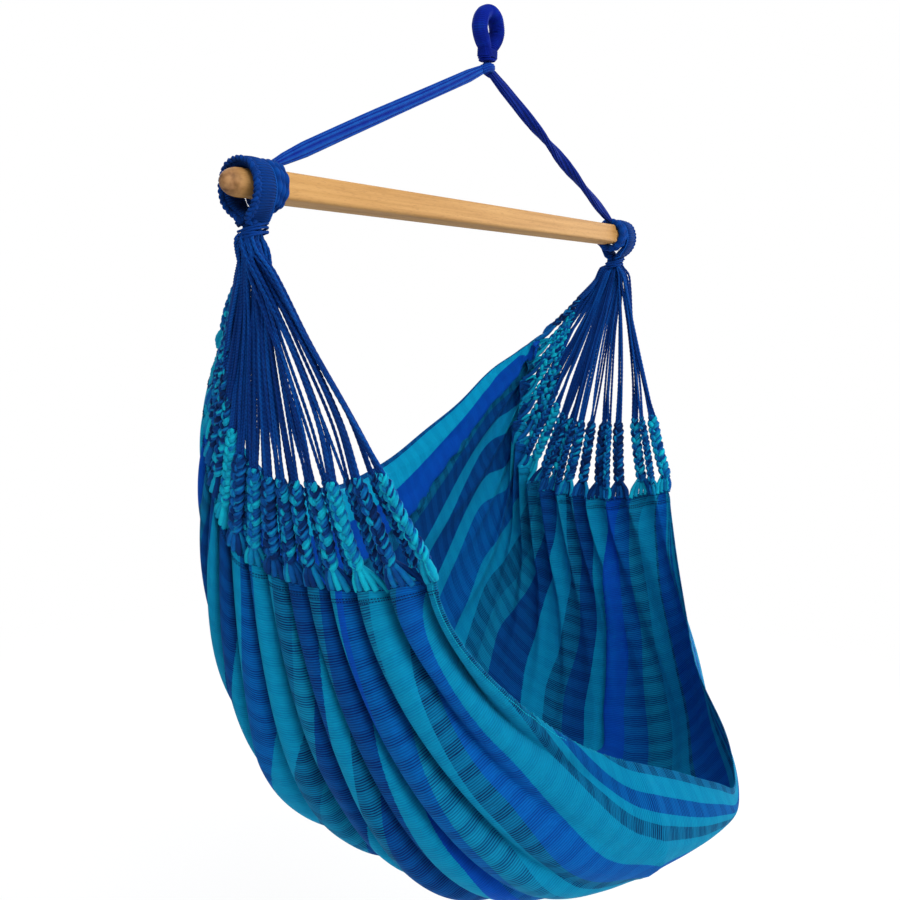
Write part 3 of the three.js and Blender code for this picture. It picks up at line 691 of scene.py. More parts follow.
front_band = [(-17, -3, -81.0), (-10, -7.5, -77.0), (-1, -9, -75.0), (6.5, -7, -75.0),
              (9, -1, -75.6), (6, 5, -76.0)]
rear_band = [(16, 2, -82.0), (9, 6.5, -78.4), (0, 7.5, -76.0), (-6.5, 5, -76.4),
             (-7.5, -1, -78.0), (0, -2.5, -79.5)]
band_high, band_wide, core_size = 6.4 * mm, 4.0 * mm, 8.75 * mm
angle = circle_angles(48)[None]
bag = empty_bag()
# Painted light and shade: the front band, from the left rope, has its painted lit tone, the rear
# band, from the right rope, its painted shaded tone; strands are lighter on their crests.
for points, tone in ((front_band, 0.52), (rear_band, 0.25)):
    path = smooth_line(np.array(points) * mm, 70)
    bulge = np.abs(np.cos(rope_strands * angle + 25 * run_along(path)[:, None]))
    ripple = 0.82 + 0.18 * bulge
    section = np.stack([band_high * np.cos(angle) * ripple,
                        band_wide * np.sin(angle) * ripple], -1)
    put_tube(bag, path, (0, 0, 1), section, tone + 0.4 * (bulge - 0.7))
core_rise = np.linspace(-8.5, 8.5, 34) * mm
core = np.stack([0 * core_rise, 0 * core_rise, core_rise - knot_drop], 1)
core_radius = np.sqrt(core_size ** 2 - core_rise ** 2)
put_tube(bag, core, (1, 0, 0), lay_section(core_radius, core_rise, 30 * mm, 40, 8, 0.10), 0.45)
piece_of("knot", bag, rope_yarn, "swaying_knot", "cobalt_cord", "rope_knot")
print("collar turns:", len(collar_turns), "knot bands: 2")

# %% [markdown]
# ## Sling eyes
# The cords of each side pass over the bar in a teardrop loop that is served with cord from end
# to end. Its outer edge carries a chain of stitches. The ribs could be bump alone, but they
# are a millimetre deep on the real loop, so each rib is a ring of the mesh.

# %% Sling eye shape
sling_thick, sling_wide = 14.6 * mm, 34.6 * mm


def sling_line(side, count):
    top = neck_radius + 0.3 * mm + sling_thick / 2
    foot = (sling_thick + 0.9 * mm) / 2
    wide = top + 2 * mm
    drop = 43 * mm
    leg = [(wide * reach, -drop * height)
           for reach, height in ((0.42, 0.86), (0.78, 0.60), (0.98, 0.30), (1, 0))]
    half_line = [(foot, -50 * mm), (foot, -drop)] + leg + [(top * 0.74, top * 0.74)]
    outline = half_line + [(0, top)] + [(-y, z) for y, z in half_line[::-1]]
    points = []
    for y, z in outline:
        lean = min(max((-z - 24 * mm) / (drop - 24 * mm), 0), 1)
        points.append((side * (sling_x - lean * 7 * mm), y, z - bar_drop))
    return smooth_line(points, count)


def plait(bag, path, outward, radius, spread, depth, pitch, dyes, corners=10, scale=None,
          flat=1.3, lobes=3, mixed=0.0):
    """Three strands that pass over and under each other, with yarns of mixed dye and painted shade
    where a strand passes under and in the grooves between its yarns.
    """
    along, out, across = directions(path, outward)
    run = run_along(path)
    size = np.ones(len(path)) if scale is None else scale
    lay_pitch = pitch * 0.7
    for number, dye in enumerate(dyes):
        angle = 2 * math.pi * (run / pitch + number / 3)
        shift = (np.sin(angle) * spread * size)[:, None] * across
        rise = (np.sin(2 * angle) * depth * size)[:, None] * out
        section = lay_section(radius * size, run, lay_pitch, corners, lobes, 0.26, flat, number)
        turned = circle_angles(corners)[None] - (2 * math.pi * run / lay_pitch + number)[:, None]
        yarn = np.floor((turned / (2 * math.pi) * lobes + 0.5) % lobes).astype(int)
        yarn_dyes = np.array([draws.uniform(-mixed, mixed) for k in range(lobes)])
        # Painted shade: a strand is darkened where it passes under the others, and in the grooves
        # between its yarns.
        groove_shade = 1 - np.abs(np.cos(turned * lobes / 2))
        under_shade = np.maximum(-np.sin(2 * angle), 0)[:, None]
        dye_and_shade = dye + yarn_dyes[yarn] - 0.26 * under_shade - 0.12 * groove_shade
        put_tube(bag, path + shift + rise, out, section, dye_and_shade)


around = circle_angles(44)
flat_out, flat_across = squared_off(around, 0.72)
half_thick = sling_thick / 2 - 0.4 * mm
for hand, side in sides_named:
    line = sling_line(side, 420)
    run = run_along(line)
    outward = line - line.mean(0)
    outward[:, 0] = 0
    slant = run[:, None] + 1.2 * mm * np.sin(around)[None]
    rib = 0.55 * mm * np.cos(2 * math.pi * slant / sling_rib)
    neck = np.clip(np.minimum(run, run[-1] - run) / (16 * mm), 0, 1)[:, None]
    half_wide = (sling_wide / 2 - 1.6 * mm) * (0.72 + 0.28 * neck)
    section = np.stack([flat_out * (half_thick + rib), flat_across * (half_wide + rib)], -1)
    bag = empty_bag()
    # Painted shade: the dye is lighter on the loop's outer face and darker on its inner face.
    put_tube(bag, line, outward, section, 0.48 + 0.06 * np.cos(around)[None])
    piece_of(f"served_eye_{hand}", bag, ribbed_yarn, "seat", "cobalt_cord",
             f"sling_eye_{hand}", f"sling_eye_twine_{hand}")
    along, out, across = directions(line, outward)
    tipward = unit(across * (across @ np.array([side, 0, 0]))[:, None])
    bag = empty_bag()
    edge = line + tipward * (half_wide - 0.6 * mm) + out * 3.0 * mm
    plait(bag, smooth_line(edge[4:-4:6], 240), smooth_line(out[4:-4:6], 240), 2.5 * mm,
          2.5 * mm, 1.9 * mm, 20 * mm, (0.42, 0.60, 0.50), mixed=0.06)
    edge = line - tipward * (half_wide + 0.2 * mm) + out * 3.4 * mm
    second = smooth_line(edge[4:-4:6], 260)
    section = lay_section(1.3 * mm, run_along(second), 6 * mm, 8, 2, 0.25)
    put_tube(bag, second, (side, 0, 0), section, 0.85)
    piece_of(f"chain_edge_{hand}", bag, cobalt_yarn, "seat", "cobalt_cord")
print("sling eyes: 2, ribs of each:", int(run[-1] / sling_rib))

# %% [markdown]
# ## The cloth's shape
# The sling is a rectangle of woven cotton, gathered at both ends. The solid's surface is a
# smooth sheet between three lines: the gathered left end, the middle line, and the right end.
# The same three tables give it here. Pleats, folds and margins are then laid on that sheet.
# A cloth simulation would sag a flat sheet too, but it can't place each stripe and fold.

# %% Cloth tables
# Place from back edge 0 to front edge 1, then the end's half width, depth and drop, as
# shares of the seat's, and the same for the middle line's depth and drop
hem_shares = np.array([
    [0.00, 1.000, 0.235, 0.197], [0.16, 0.995, 0.290, 0.288], [0.32, 0.978, 0.300, 0.383],
    [0.46, 0.940, 0.255, 0.470], [0.58, 0.905, 0.140, 0.500], [0.72, 0.893, 0.000, 0.504],
    [0.86, 0.880, -0.180, 0.495], [1.00, 0.852, -0.402, 0.463]])
middle_shares = np.array([
    [0.00, 0.600, 0.468], [0.06, 0.545, 0.510], [0.13, 0.515, 0.595], [0.22, 0.490, 0.712],
    [0.31, 0.420, 0.822], [0.40, 0.285, 0.912], [0.51, 0.020, 0.982], [0.63, -0.290, 1.000],
    [0.75, -0.590, 0.980], [0.85, -0.810, 0.932], [0.93, -0.958, 0.866], [1.00, -0.955, 0.798]])
# How full the sheet stands between them: powers for the way across, the depth and the drop
fullness_shares = np.array([
    [0.00, 2.0, 1.3, 1.00], [0.15, 2.5, 2.2, 1.60], [0.35, 3.4, 2.8, 2.80], [0.60, 4.0, 2.6, 3.10],
    [0.80, 3.2, 1.8, 2.60], [0.92, 2.2, 1.2, 1.80], [1.00, 1.8, 0.8, 1.50]])
braid_count = 16
pleats = braid_count - 1


def table_value(table, place, column):
    place = np.asarray(place, float)
    row = np.clip(np.searchsorted(table[:, 0], place, side="left") - 1, 0, len(table) - 2)
    rows = np.arange(len(table))
    low, high = np.maximum(rows - 1, 0), np.minimum(rows + 1, len(table) - 1)
    slope = (table[high, column] - table[low, column]) / (table[high, 0] - table[low, 0])
    span = table[row + 1, 0] - table[row, 0]
    t = (place - table[row, 0]) / span
    rise = 3 * t ** 2 - 2 * t ** 3
    leave = (t ** 3 - 2 * t ** 2 + t) * span * slope[row]
    arrive = (t ** 3 - t ** 2) * span * slope[row + 1]
    first, second = table[row, column], table[row + 1, column]
    return first + (second - first) * rise + leave + arrive


def smooth_cloth(place, turn):
    """The sheet at a place and at a turn, from -1 at the left hem to 1 at the right."""
    across = np.sin(turn * math.pi / 2)
    power, depth_rate, drop_rate = (table_value(fullness_shares, place, c) for c in (1, 2, 3))
    end_width, end_depth, end_drop = (table_value(hem_shares, place, c) for c in (1, 2, 3))
    mid_depth, mid_drop = (table_value(middle_shares, place, c) for c in (1, 2))
    inner = np.maximum(1 - np.abs(across) ** power, 0)
    depth = end_depth + (mid_depth - end_depth) * inner ** (1 / depth_rate)
    drop = end_drop + (mid_drop - end_drop) * inner ** (1 / drop_rate)
    return np.stack([across * end_width * seat_half_width, depth * seat_depth,
                     -(bar_drop + drop * seat_drop)], -1)


def outer_way(cloth, place, turn):
    step = 0.01
    along = cloth(place, np.minimum(turn + step, 1)) - cloth(place, np.maximum(turn - step, -1))
    down = cloth(np.minimum(place + step, 1), turn) - cloth(np.maximum(place - step, 0), turn)
    return unit(np.cross(along, down))


def solid_cloth(place, turn):
    """The pleated sheet as the solid has it: the braids' feet stand on its crests."""
    across = np.abs(np.sin(turn * math.pi / 2))
    fade = 0.15 + 0.85 * across ** 3
    crest = 5.5 * mm * np.cos(2 * math.pi * pleats * place) * fade
    return smooth_cloth(place, turn) + outer_way(smooth_cloth, place, turn) * crest[..., None]


print("table rows:", len(hem_shares), len(middle_shares), len(fullness_shares))

# %% [markdown]
# ## Seat cloth
# The sheet is a fine grid. Its front margin is folded inwards on the left and opens along the
# lip, and its back margin rolls outwards. Deep pleats at the hems fade into long soft folds.
# Two folds hang over themselves: the royal margin at the back and the royal strip on the right.
# Each point is moved out of the sheet, along it and towards the hem, so a fold can overhang,
# which a plain height over the sheet could not do.

# %% Grid of the cloth
margin, cloth_rows, small = 0.08, 560, 0.01
end_columns = np.concatenate([np.linspace(0, 0.045, 18), np.linspace(0.045, 1, 88)[1:]])
half_turns = 1 - end_columns
turns = np.concatenate([-half_turns, half_turns[-2::-1]])
wide_grid, turn_grid = np.meshgrid(np.linspace(0, 1 + margin, cloth_rows), turns, indexing="ij")
fold_width = 1 + margin * ease(turn_grid, -0.62, -0.30)
folded = wide_grid > fold_width
place_grid = np.where(folded, 2 - wide_grid / fold_width, wide_grid / fold_width)
place_grid = np.clip(place_grid, 0, 1)
tucked = np.clip((wide_grid - fold_width) / 0.012, 0, 1)
end_share = np.abs(np.sin(turn_grid * math.pi / 2))
base = smooth_cloth(place_grid, turn_grid)
out_way = outer_way(smooth_cloth, place_grid, turn_grid)
down_way = unit(smooth_cloth(np.minimum(place_grid + small, 1), turn_grid)
                - smooth_cloth(np.maximum(place_grid - small, 0), turn_grid))
over_way = unit(smooth_cloth(place_grid, np.minimum(turn_grid + small, 1))
                - smooth_cloth(place_grid, np.maximum(turn_grid - small, -1)))
steps = np.linalg.norm(np.diff(base, axis=1), axis=-1)
from_left = np.concatenate([np.zeros((cloth_rows, 1)), np.cumsum(steps, 1)], 1)
from_end = np.minimum(from_left, from_left[:, -1:] - from_left)
print("cloth grid:", cloth_rows, "by", len(turns))

# %% [markdown]
# ## Stripes
# The warp stripes run from end to end, and the weft crosses them in fine ribs, dark and light
# by turns, with broader bands where the weft's dye changes. Each stripe's edge is followed
# from the left hem through the seat to the right hem, so the stripes fan out as the cloth does.

# %% Stripe edges
dye_pairs = {
    "turquoise": ((0.002, 0.245, 0.430), (0.001, 0.175, 0.350)),
    "bright": ((0.002, 0.340, 0.560), (0.001, 0.230, 0.430)),
    "edge": ((0.003, 0.160, 0.360), (0.001, 0.010, 0.060)),
    "blue": ((0.001, 0.115, 0.390), (0.001, 0.028, 0.160)),
    "clear": ((0.001, 0.115, 0.430), (0.001, 0.045, 0.250)),
    "royal": ((0.001, 0.070, 0.420), (0.001, 0.050, 0.330)),
    "dark": ((0.002, 0.165, 0.340), (0.001, 0.012, 0.075)),
    "check": ((0.002, 0.110, 0.340), (0.001, 0.020, 0.120)),
    "teal": ((0.003, 0.225, 0.400), (0.001, 0.040, 0.140)),
    "navy": ((0.001, 0.070, 0.280), (0.001, 0.016, 0.110)),
}
# The dye, then the place of its back edge at six turns from the left hem to the right hem
stripe_turns = (-1.0, -0.6, -0.1, 0.60, 0.84, 1.0)
stripes = [
    ("edge", 1.07, 1.07, 1.07, 1.07, 1.076, 1.079),
    ("turquoise", 1.05, 1.05, 1.05, 1.05, 1.074, 1.0785),
    ("blue", 1.03, 1.03, 1.034, 1.034, 1.073, 1.078),
    ("turquoise", 1.015, 1.015, 1.024, 1.024, 1.072, 1.0775),
    ("dark", 1.0, 1.0, 1.012, 1.014, 1.071, 1.077),
    ("turquoise", 0.965, 0.925, 0.982, 1.008, 1.064, 1.075),
    ("clear", 0.935, 0.88, 0.945, 0.929, 1.016, 1.068),
    ("dark", 0.92, 0.858, 0.93, 0.926, 1.014, 1.066),
    ("turquoise", 0.875, 0.835, 0.9, 0.872, 0.958, 1.032),
    ("teal", 0.86, 0.805, 0.87, 0.81, 0.905, 0.995),
    ("blue", 0.81, 0.775, 0.83, 0.756, 0.85, 0.952),
    ("royal", 0.8, 0.75, 0.8, 0.718, 0.794, 0.906),
    ("turquoise", 0.78, 0.722, 0.775, 0.658, 0.732, 0.835),
    ("navy", 0.745, 0.665, 0.715, 0.613, 0.675, 0.77),
    ("dark", 0.72, 0.64, 0.68, 0.57, 0.63, 0.725),
    ("turquoise", 0.7, 0.608, 0.645, 0.52, 0.56, 0.665),
    ("navy", 0.64, 0.565, 0.59, 0.435, 0.505, 0.605),
    ("teal", 0.62, 0.525, 0.55, 0.397, 0.46, 0.568),
    ("dark", 0.6, 0.493, 0.515, 0.354, 0.412, 0.508),
    ("turquoise", 0.53, 0.458, 0.475, 0.316, 0.365, 0.454),
    ("blue", 0.48, 0.42, 0.42, 0.235, 0.305, 0.389),
    ("turquoise", 0.44, 0.385, 0.38, 0.206, 0.266, 0.346),
    ("navy", 0.38, 0.34, 0.33, 0.152, 0.205, 0.27),
    ("turquoise", 0.34, 0.29, 0.28, 0.12, 0.165, 0.22),
    ("navy", 0.29, 0.24, 0.212, 0.086, 0.115, 0.16),
    ("dark", 0.24, 0.175, 0.158, 0.052, 0.034, 0.06),
    ("royal", 0.2, 0.12, 0.105, 0.024, 0.014, 0.022),
    ("bright", 0.03, 0.02, 0.018, 0.003, 0.003, 0.004),
    ("check", -0.001, -0.001, -0.001, -0.001, -0.001, -0.001)]
stripe_table = np.array([stripe_turns] + [stripe[1:] for stripe in stripes]).T
stripe_count = len(stripes)


def stripe_edge(number, turn_here):
    return table_value(stripe_table, turn_here, number + 1)


stripe_value = np.zeros_like(wide_grid)
for column, turn_here in enumerate(turns):
    edges = [float(stripe_edge(k, turn_here)) for k in range(stripe_count)]
    edges = np.array([1 + margin + 0.001] + edges)
    edges = np.minimum.accumulate(edges - np.arange(stripe_count + 1) * 1e-6)
    stripe_value[:, column] = np.interp(-wide_grid[:, column], -edges, np.arange(stripe_count + 1))
print("stripes:", stripe_count)

# %% Pleats
phase = pleats * place_grid
crest = np.cos(2 * math.pi * phase)
pleat_number = np.clip(np.floor(phase).astype(int), 0, pleats - 1)
valley_depth = np.array([draws.uniform(0.7, 1.7) for k in range(pleats)])[pleat_number]
valley_lean = np.array([draws.uniform(-1, 1) for k in range(pleats)])[pleat_number]
gather = ease(end_share, 0.32, 1.0) ** 1.2
low = (1 - crest) / 2
calm = 1 - 0.62 * ease(turn_grid, 0.1, 0.45) * (1 - ease(end_share, 0.975, 1.0))
right_front = ease(turn_grid, 0.3, 0.6) * ease(place_grid, 0.52, 0.64)
left_hem = ease(-turn_grid, 0.50, 0.85)
valley_size = (15.0 + 10.0 * left_hem) * (1 - 0.9 * right_front)
lift = gather * calm * (5.5 * crest - valley_size * valley_depth * low ** 3) * mm
slide = gather * calm * (4.4 * np.sin(2 * math.pi * phase) + 5.0 * valley_lean * low ** 3) * mm
print("pleats:", pleats, "deepest:", round(float(-lift.min()), 3), "m")

# %% Loose waves
# Waves across the sheet, how they slope, where they start and their size in millimetres
loose_waves = [(5.3, 0.22, 0.3, 4.2), (8.7, -0.35, 1.9, 2.4), (13.1, 0.15, 4.0, 1.5),
               (3.1, 0.4, 2.2, 6.0), (23.0, -0.9, 1.0, 0.9), (31.0, 0.7, 5.0, 0.6)]
for count, slope, offset, size in loose_waves:
    wave = 2 * math.pi * (count * place_grid + slope * turn_grid) + offset
    wave = np.sin(wave + 0.8 * np.sin(3 * turn_grid))
    lift += wave * size * mm * calm * (0.35 + 0.65 * gather) * (1 - ease(end_share, 0.9, 1.0))
print("loose waves:", len(loose_waves))

# %% Long fold on the left
in_fold = (place_grid - (0.56 + 0.05 * (1 + turn_grid))) / 0.020
left_fold = ease(-turn_grid, 0.25, 0.60)
lift -= left_fold * 26 * mm * np.exp(-in_fold ** 2)
slide -= left_fold * 9 * mm * hump(in_fold, 0.9, 1)
print("left fold:", 26, "mm deep")

# %% Royal margin at the back
# It hangs over the stripe below it, and its outermost edge rolls outwards
royal_edge, back_run = 25, 1180 * mm
ruffle = 0.006 * np.sin(turn_grid * 29) + 0.004 * np.sin(turn_grid * 67 + 1)
under = (wide_grid - stripe_edge(royal_edge, turn_grid) - ruffle) * back_run
strong = ease(turn_grid, -0.85, -0.50) * (1 - ease(turn_grid, 0.93, 1.0))
strong *= 1 + 0.8 * hump(turn_grid, -0.42, 0.18)
over = 13 * hump(under, -8 * mm, 13 * mm) - 6 * hump(under, 16 * mm, 12 * mm)
lift -= strong * over * mm
slide += strong * 14 * mm * hump(under, -6 * mm, 8 * mm)
rolled = ease(0.035 - wide_grid, 0, 0.035) * (1 - ease(end_share, 0.85, 1.0))
lift += rolled * 14 * mm * (1 + 0.3 * np.sin(turn_grid * 23))
print("back margin hangs over by", round(float(strong.max()) * 13, 1), "mm")

# %% Royal strip on the right
# It hangs over the stripe behind it, most of all at its foot
strip_edge, front_run = 11, 800 * mm
behind = (wide_grid - stripe_edge(strip_edge, turn_grid)) * front_run
strong = ease(turn_grid, 0.30, 0.46) * (1 - ease(turn_grid, 0.84, 0.97))
strong = strong * (1 + 1.3 * ease(-turn_grid, -0.52, -0.38))
foot = 1 + 0.9 * hump(turn_grid, 0.36, 0.07)
over = 19 * hump(behind, 9 * mm, 14 * mm) - 5 * hump(behind, -12 * mm, 9 * mm)
lift -= strong * foot * over * mm
slide -= strong * 12 * mm * hump(behind, 6 * mm, 7 * mm)
print("right strip hangs over by", round(float((strong * foot).max()) * 19, 1), "mm")


# %% Lip, corner and hem
def pull(amount, x, y, z):
    """Draws the sheet towards a point, in millimetres, by a share at each of its points."""
    return amount[..., None] * np.array([x, y, z]) * mm


near_lip = 1 - ease(1 - place_grid, 0, 0.035)
lift *= 1 - 0.7 * near_lip
slide *= 1 - near_lip
sheet = base + out_way * (lift - 5.0 * mm * tucked)[..., None] + down_way * slide[..., None]
corner = np.exp(-((turn_grid - 0.05) / 0.07) ** 2 - ((1 - place_grid) / 0.06) ** 2)
sheet += pull(corner, 4, -7, -25)
crease = np.exp(-np.abs(turn_grid + 0.30 - 0.7 * (1 - place_grid)) / 0.035)
crease *= ease(place_grid, 0.80, 0.90)
sheet += out_way * (crease * 9 * mm)[..., None]
sheet += pull(hump(turn_grid, -0.20, 0.14) * ease(place_grid, 0.92, 1.0), 0, 0, 20)
straight_side = hump(turn_grid, 0.76, 0.20) * ease(place_grid, 0.84, 1.0)
sheet += pull(straight_side * (1 - ease(turn_grid, 0.93, 1.0)), 6, -9, 0)
sheet += pull(hump(turn_grid, 0.36, 0.15) * ease(place_grid, 0.45, 0.85), -11, 16, 0)
scallop = -12 * mm * low ** 1.5 * np.exp(-from_end / (26 * mm)) * (1 - 0.8 * right_front)
sheet += over_way * (np.sign(turn_grid) * scallop)[..., None]
print("deepest fold:", round(float(-lift.min()), 3), "m")

# %% Thickness and skin
flat_length, flat_width = 1.60, 1.36
along_share = from_left / from_left[:, -1:]
hem_step = ease(25.5 * mm - from_end, 0, 1.2 * mm)
normal = unit(np.cross(np.gradient(sheet, axis=1), np.gradient(sheet, axis=0)))
half_thick = (0.7 * mm + 0.55 * mm * hem_step)[..., None]
rows, columns = sheet.shape[:2]
faces_out = (sheet + normal * half_thick).reshape(-1, 3)
faces_in = (sheet - normal * half_thick).reshape(-1, 3)
grid = np.arange(rows * columns).reshape(rows, columns)
quads = np.stack([grid[:-1, :-1], grid[:-1, 1:], grid[1:, 1:], grid[1:, :-1]], -1).reshape(-1, 4)
total = rows * columns
border = np.concatenate([grid[0, :-1], grid[:-1, -1], grid[-1, :0:-1], grid[:0:-1, 0]])
after = np.roll(border, -1)
rim = np.stack([border, border + total, after + total, after], -1)
cloth_faces = np.concatenate([quads, quads[:, ::-1] + total, rim])
print("cloth faces:", len(cloth_faces))


# %% Cloth finish
rib_pitch, band_pitch, thread_pitch = 3.7 * mm, 37 * mm, 1.3 * mm
cotton_finish = {
    "Roughness": 0.9, "Specular IOR Level": 0.06, "Sheen Weight": 0.06,
    "Sheen Roughness": 0.45, "Sheen Tint": (0.1, 0.6, 0.9, 1), "Subsurface Weight": 0.4,
    "Subsurface Radius": (0.5, 1.0, 1.0), "Subsurface Scale": 0.004}


def cloth_paint():
    paint, tree, shader = new_material("striped_cotton")
    weft, warp = run_of(tree, "weft"), run_of(tree, "warp")
    flat_place = add_node(tree, "CombineXYZ", {0: weft, 1: warp}).outputs[0]

    def streaks(across, along, detail=2.0):
        inputs = {"Vector": flat_place, "Scale": (across, along, 1.0)}
        return noise(tree, add_node(tree, "Mapping", inputs).outputs[0], 1.0, detail)

    def waves(value, pitch, shift):
        return calc(tree, "SINE", calc(tree, "MULTIPLY_ADD", value, 2 * math.pi / pitch, shift), 0)

    slow, fine = streaks(30.0, 5.0), streaks(900.0, 70.0, 3.0)
    slub, worn = streaks(220.0, 14.0), streaks(500.0, 500.0)
    stripe = calc(tree, "SUBTRACT", worn, 0.5)
    stripe = calc(tree, "MULTIPLY_ADD", stripe, 0.10, run_of(tree, "stripe"))
    stripe = calc(tree, "DIVIDE", stripe, float(stripe_count))
    light, dark = (dye_steps(tree, stripe, [(k / stripe_count, dye_pairs[s[0]][tone])
                                            for k, s in enumerate(stripes)]) for tone in (0, 1))
    wander = calc(tree, "MULTIPLY_ADD", slub, 3.4, calc(tree, "MULTIPLY", fine, 1.4))
    rib_wave = waves(weft, rib_pitch, wander)
    rib = stretch(tree, rib_wave, -0.45, 0.65)
    band = waves(weft, band_pitch, calc(tree, "MULTIPLY", slow, 4.0))
    band = stretch(tree, band, -0.3, 0.3)
    depth = calc(tree, "MULTIPLY_ADD", slow, 0.55, 0.30)
    depth = calc(tree, "MULTIPLY_ADD", band, 0.30, depth)
    share = calc(tree, "MULTIPLY", rib, depth)
    share = calc(tree, "ADD", share, calc(tree, "MULTIPLY", band, 0.16))
    colour = blend(tree, share, light, dark)
    thread = waves(warp, thread_pitch, 0.0)
    tone = calc(tree, "MULTIPLY_ADD", fine, 0.50, 0.75)
    tone = calc(tree, "MULTIPLY_ADD", thread, 0.07, tone)
    colour = blend(tree, 1.0, colour, grey(tree, tone), "MULTIPLY")
    feed_all(tree, shader, {"Base Color": colour, **cotton_finish})
    height = calc(tree, "MULTIPLY_ADD", rib_wave, -0.4, fine)
    bump(tree, shader, calc(tree, "MULTIPLY_ADD", thread, 0.25, height), 0.6, 0.0006)
    return paint


threads = {"stripe": stripe_value, "weft": along_share * flat_length,
           "warp": wide_grid * flat_width}
cloth = new_piece("cloth", np.concatenate([faces_out, faces_in]), cloth_faces.tolist(),
                  {key: np.tile(values.ravel(), 2) for key, values in threads.items()},
                  cloth_paint(), "seat", "seat_cloth", "seat_cloth")
print("dye pairs:", len(dye_pairs))

# %% [markdown]
# ## Hem stitches
# Each doubled hem is closed by two rows of running stitches, and one more row near the edge.
# They are small raised stitches of thread, laid on the outer and the inner face. A row of
# light stitches also holds the folded front margin on the left.

# %% Stitches
stitch_bag = empty_bag()
stitch_pitch = 3.9 * mm
stitch_arch = np.array([0.9, 1.4, 1.4, 0.9])[:, None] * mm
thread_angles = circle_angles(5)


def points_at(line, spots, runs):
    return np.stack([np.interp(spots, runs, line[:, k]) for k in range(3)], 1)


def sew(line, line_out, faces, dye, thick):
    """Running stitches along a line, on one or both faces of the cloth."""
    run = run_along(line)
    ring = np.stack([np.cos(thread_angles), np.sin(thread_angles)], -1) * thick
    for face in faces:
        here = 0.0
        while here < run[-1] - stitch_pitch:
            span = np.linspace(here, here + stitch_pitch * 0.6, 4)
            path, out = points_at(line, span, run), points_at(line_out, span, run)
            path = path + out * face * (stitch_arch + 0.2 * mm)
            put_tube(stitch_bag, path, out, ring, dye)
            here += stitch_pitch


# Rows of stitches by their depth from the hem's edge, with the dye of the thread
stitch_rows = [(6.5 * mm, 0.2), (19.5 * mm, 0.1), (23.5 * mm, 0.1)]
half_columns = columns // 2
half_index = np.arange(half_columns)
for end in (0, 1):
    for depth, dye in stitch_rows:
        line, line_out = [], []
        for row in range(rows):
            if end == 0:
                spot = np.interp(depth, from_end[row, :half_columns], half_index)
            else:
                spot = np.interp(depth, from_end[row, ::-1][:half_columns], half_index)
                spot = columns - 1 - spot
            first = int(min(math.floor(spot), columns - 2))
            part = spot - first
            for points, kept in ((sheet, line), (normal, line_out)):
                kept.append(points[row, first] * (1 - part) + points[row, first + 1] * part)
        sew(np.array(line), unit(np.array(line_out)), (-1, 1), dye, 0.7 * mm)
edge_rows = [int(np.argmax(folded[:, c])) if folded[:, c].any() else rows - 1
             for c in range(half_columns - 40)]
front = [(max(row - 4, 0), c) for c, row in enumerate(edge_rows)]
front_line, front_out = (np.array([points[spot] for spot in front]) for points in (sheet, normal))
sew(front_line, front_out, (1,), 0.9, 0.55 * mm)
stitches = piece_of("hem_stitches", stitch_bag, braid_yarn, "seat", "seat_cloth")
print("stitch corners:", stitch_bag["count"])

# %% [markdown]
# ## Where the braids and cords run
# Sixteen braids a side stand on the hem, with thin plaits in some valleys between them. From
# each braid's top three to five cords run to the bundle under the sling eye. Near the bundle
# the braids crowd, so the back ones are narrower. Each place is worked out from the hem and
# the bundle, as the solids do it, and is not measured from the finished mesh.

# %% Braid places
cord_thick, pair_spread, crowd_room = 4 * mm, 4.2 * mm, 1.2 * mm
braid_length, braid_wide, braid_thick = 150 * mm, 17 * mm, 9 * mm
foot_end, full_room = 22 * mm, 16 * mm
end_room = 2.1 * mm + (pair_spread + cord_thick) / 2 + crowd_room


def braid_line(side, number):
    place = number / pleats
    at = np.array([place]), np.array([float(side)])
    hem = solid_cloth(*at)[0]
    out = outer_way(solid_cloth, *at)[0]
    high, low = np.array([min(place + 0.02, 1)]), np.array([max(place - 0.02, 0)])
    along = smooth_cloth(high, at[1])[0] - smooth_cloth(low, at[1])[0]
    along = unit(along - out * (along @ out))
    free = np.cross(along, out) * side
    foot = hem + free * 0.45 * mm
    order = 1 - 2 * number / pleats
    start = np.array([side * gather_x, order * 8 * mm, -(gather_top + 12 * mm)])
    up = unit(start - foot)
    return {"out": out, "along": unit(along - up * (along @ up)), "free": free,
            "foot": foot, "start": start, "up": up, "place": place,
            "reach": float(np.linalg.norm(start - foot))}


def with_top(line, top_reach):
    line.update(top=line["start"] - line["up"] * top_reach, top_reach=top_reach)
    return line


braid_lines = {side: [braid_line(side, n) for n in range(braid_count)]
               for hand, side in sides_named}


def crowded_reach(side, number, room):
    """How far from the bundle a braid has this much room on both sides."""
    own = braid_lines[side][number]
    spread = np.arange(0, own["reach"] + crowd_room, crowd_room)[:, None]
    here = own["start"] - own["up"] * spread
    clear = np.ones(len(spread), bool)
    for n in (number - 1, number + 1):
        if 0 <= n < braid_count:
            other = braid_lines[side][n]
            gap = here - (other["start"] - other["up"] * spread)
            clear &= np.linalg.norm(gap, axis=1) >= room
    return float(spread[np.argmax(clear), 0]) if clear.any() else own["reach"]


def braid_place(side, number):
    line = dict(braid_lines[side][number])
    top_reach = max(line["reach"] - braid_length, crowded_reach(side, number, end_room))
    last_reach = line["reach"] - foot_end - crowd_room
    width = braid_wide
    while width > braid_thick and crowded_reach(side, number, width + crowd_room) > last_reach:
        width -= crowd_room / 2
    full_reach = max(top_reach + full_room, crowded_reach(side, number, width + crowd_room))
    line.update(width=width, full=line["start"] - line["up"] * full_reach)
    return with_top(line, top_reach)


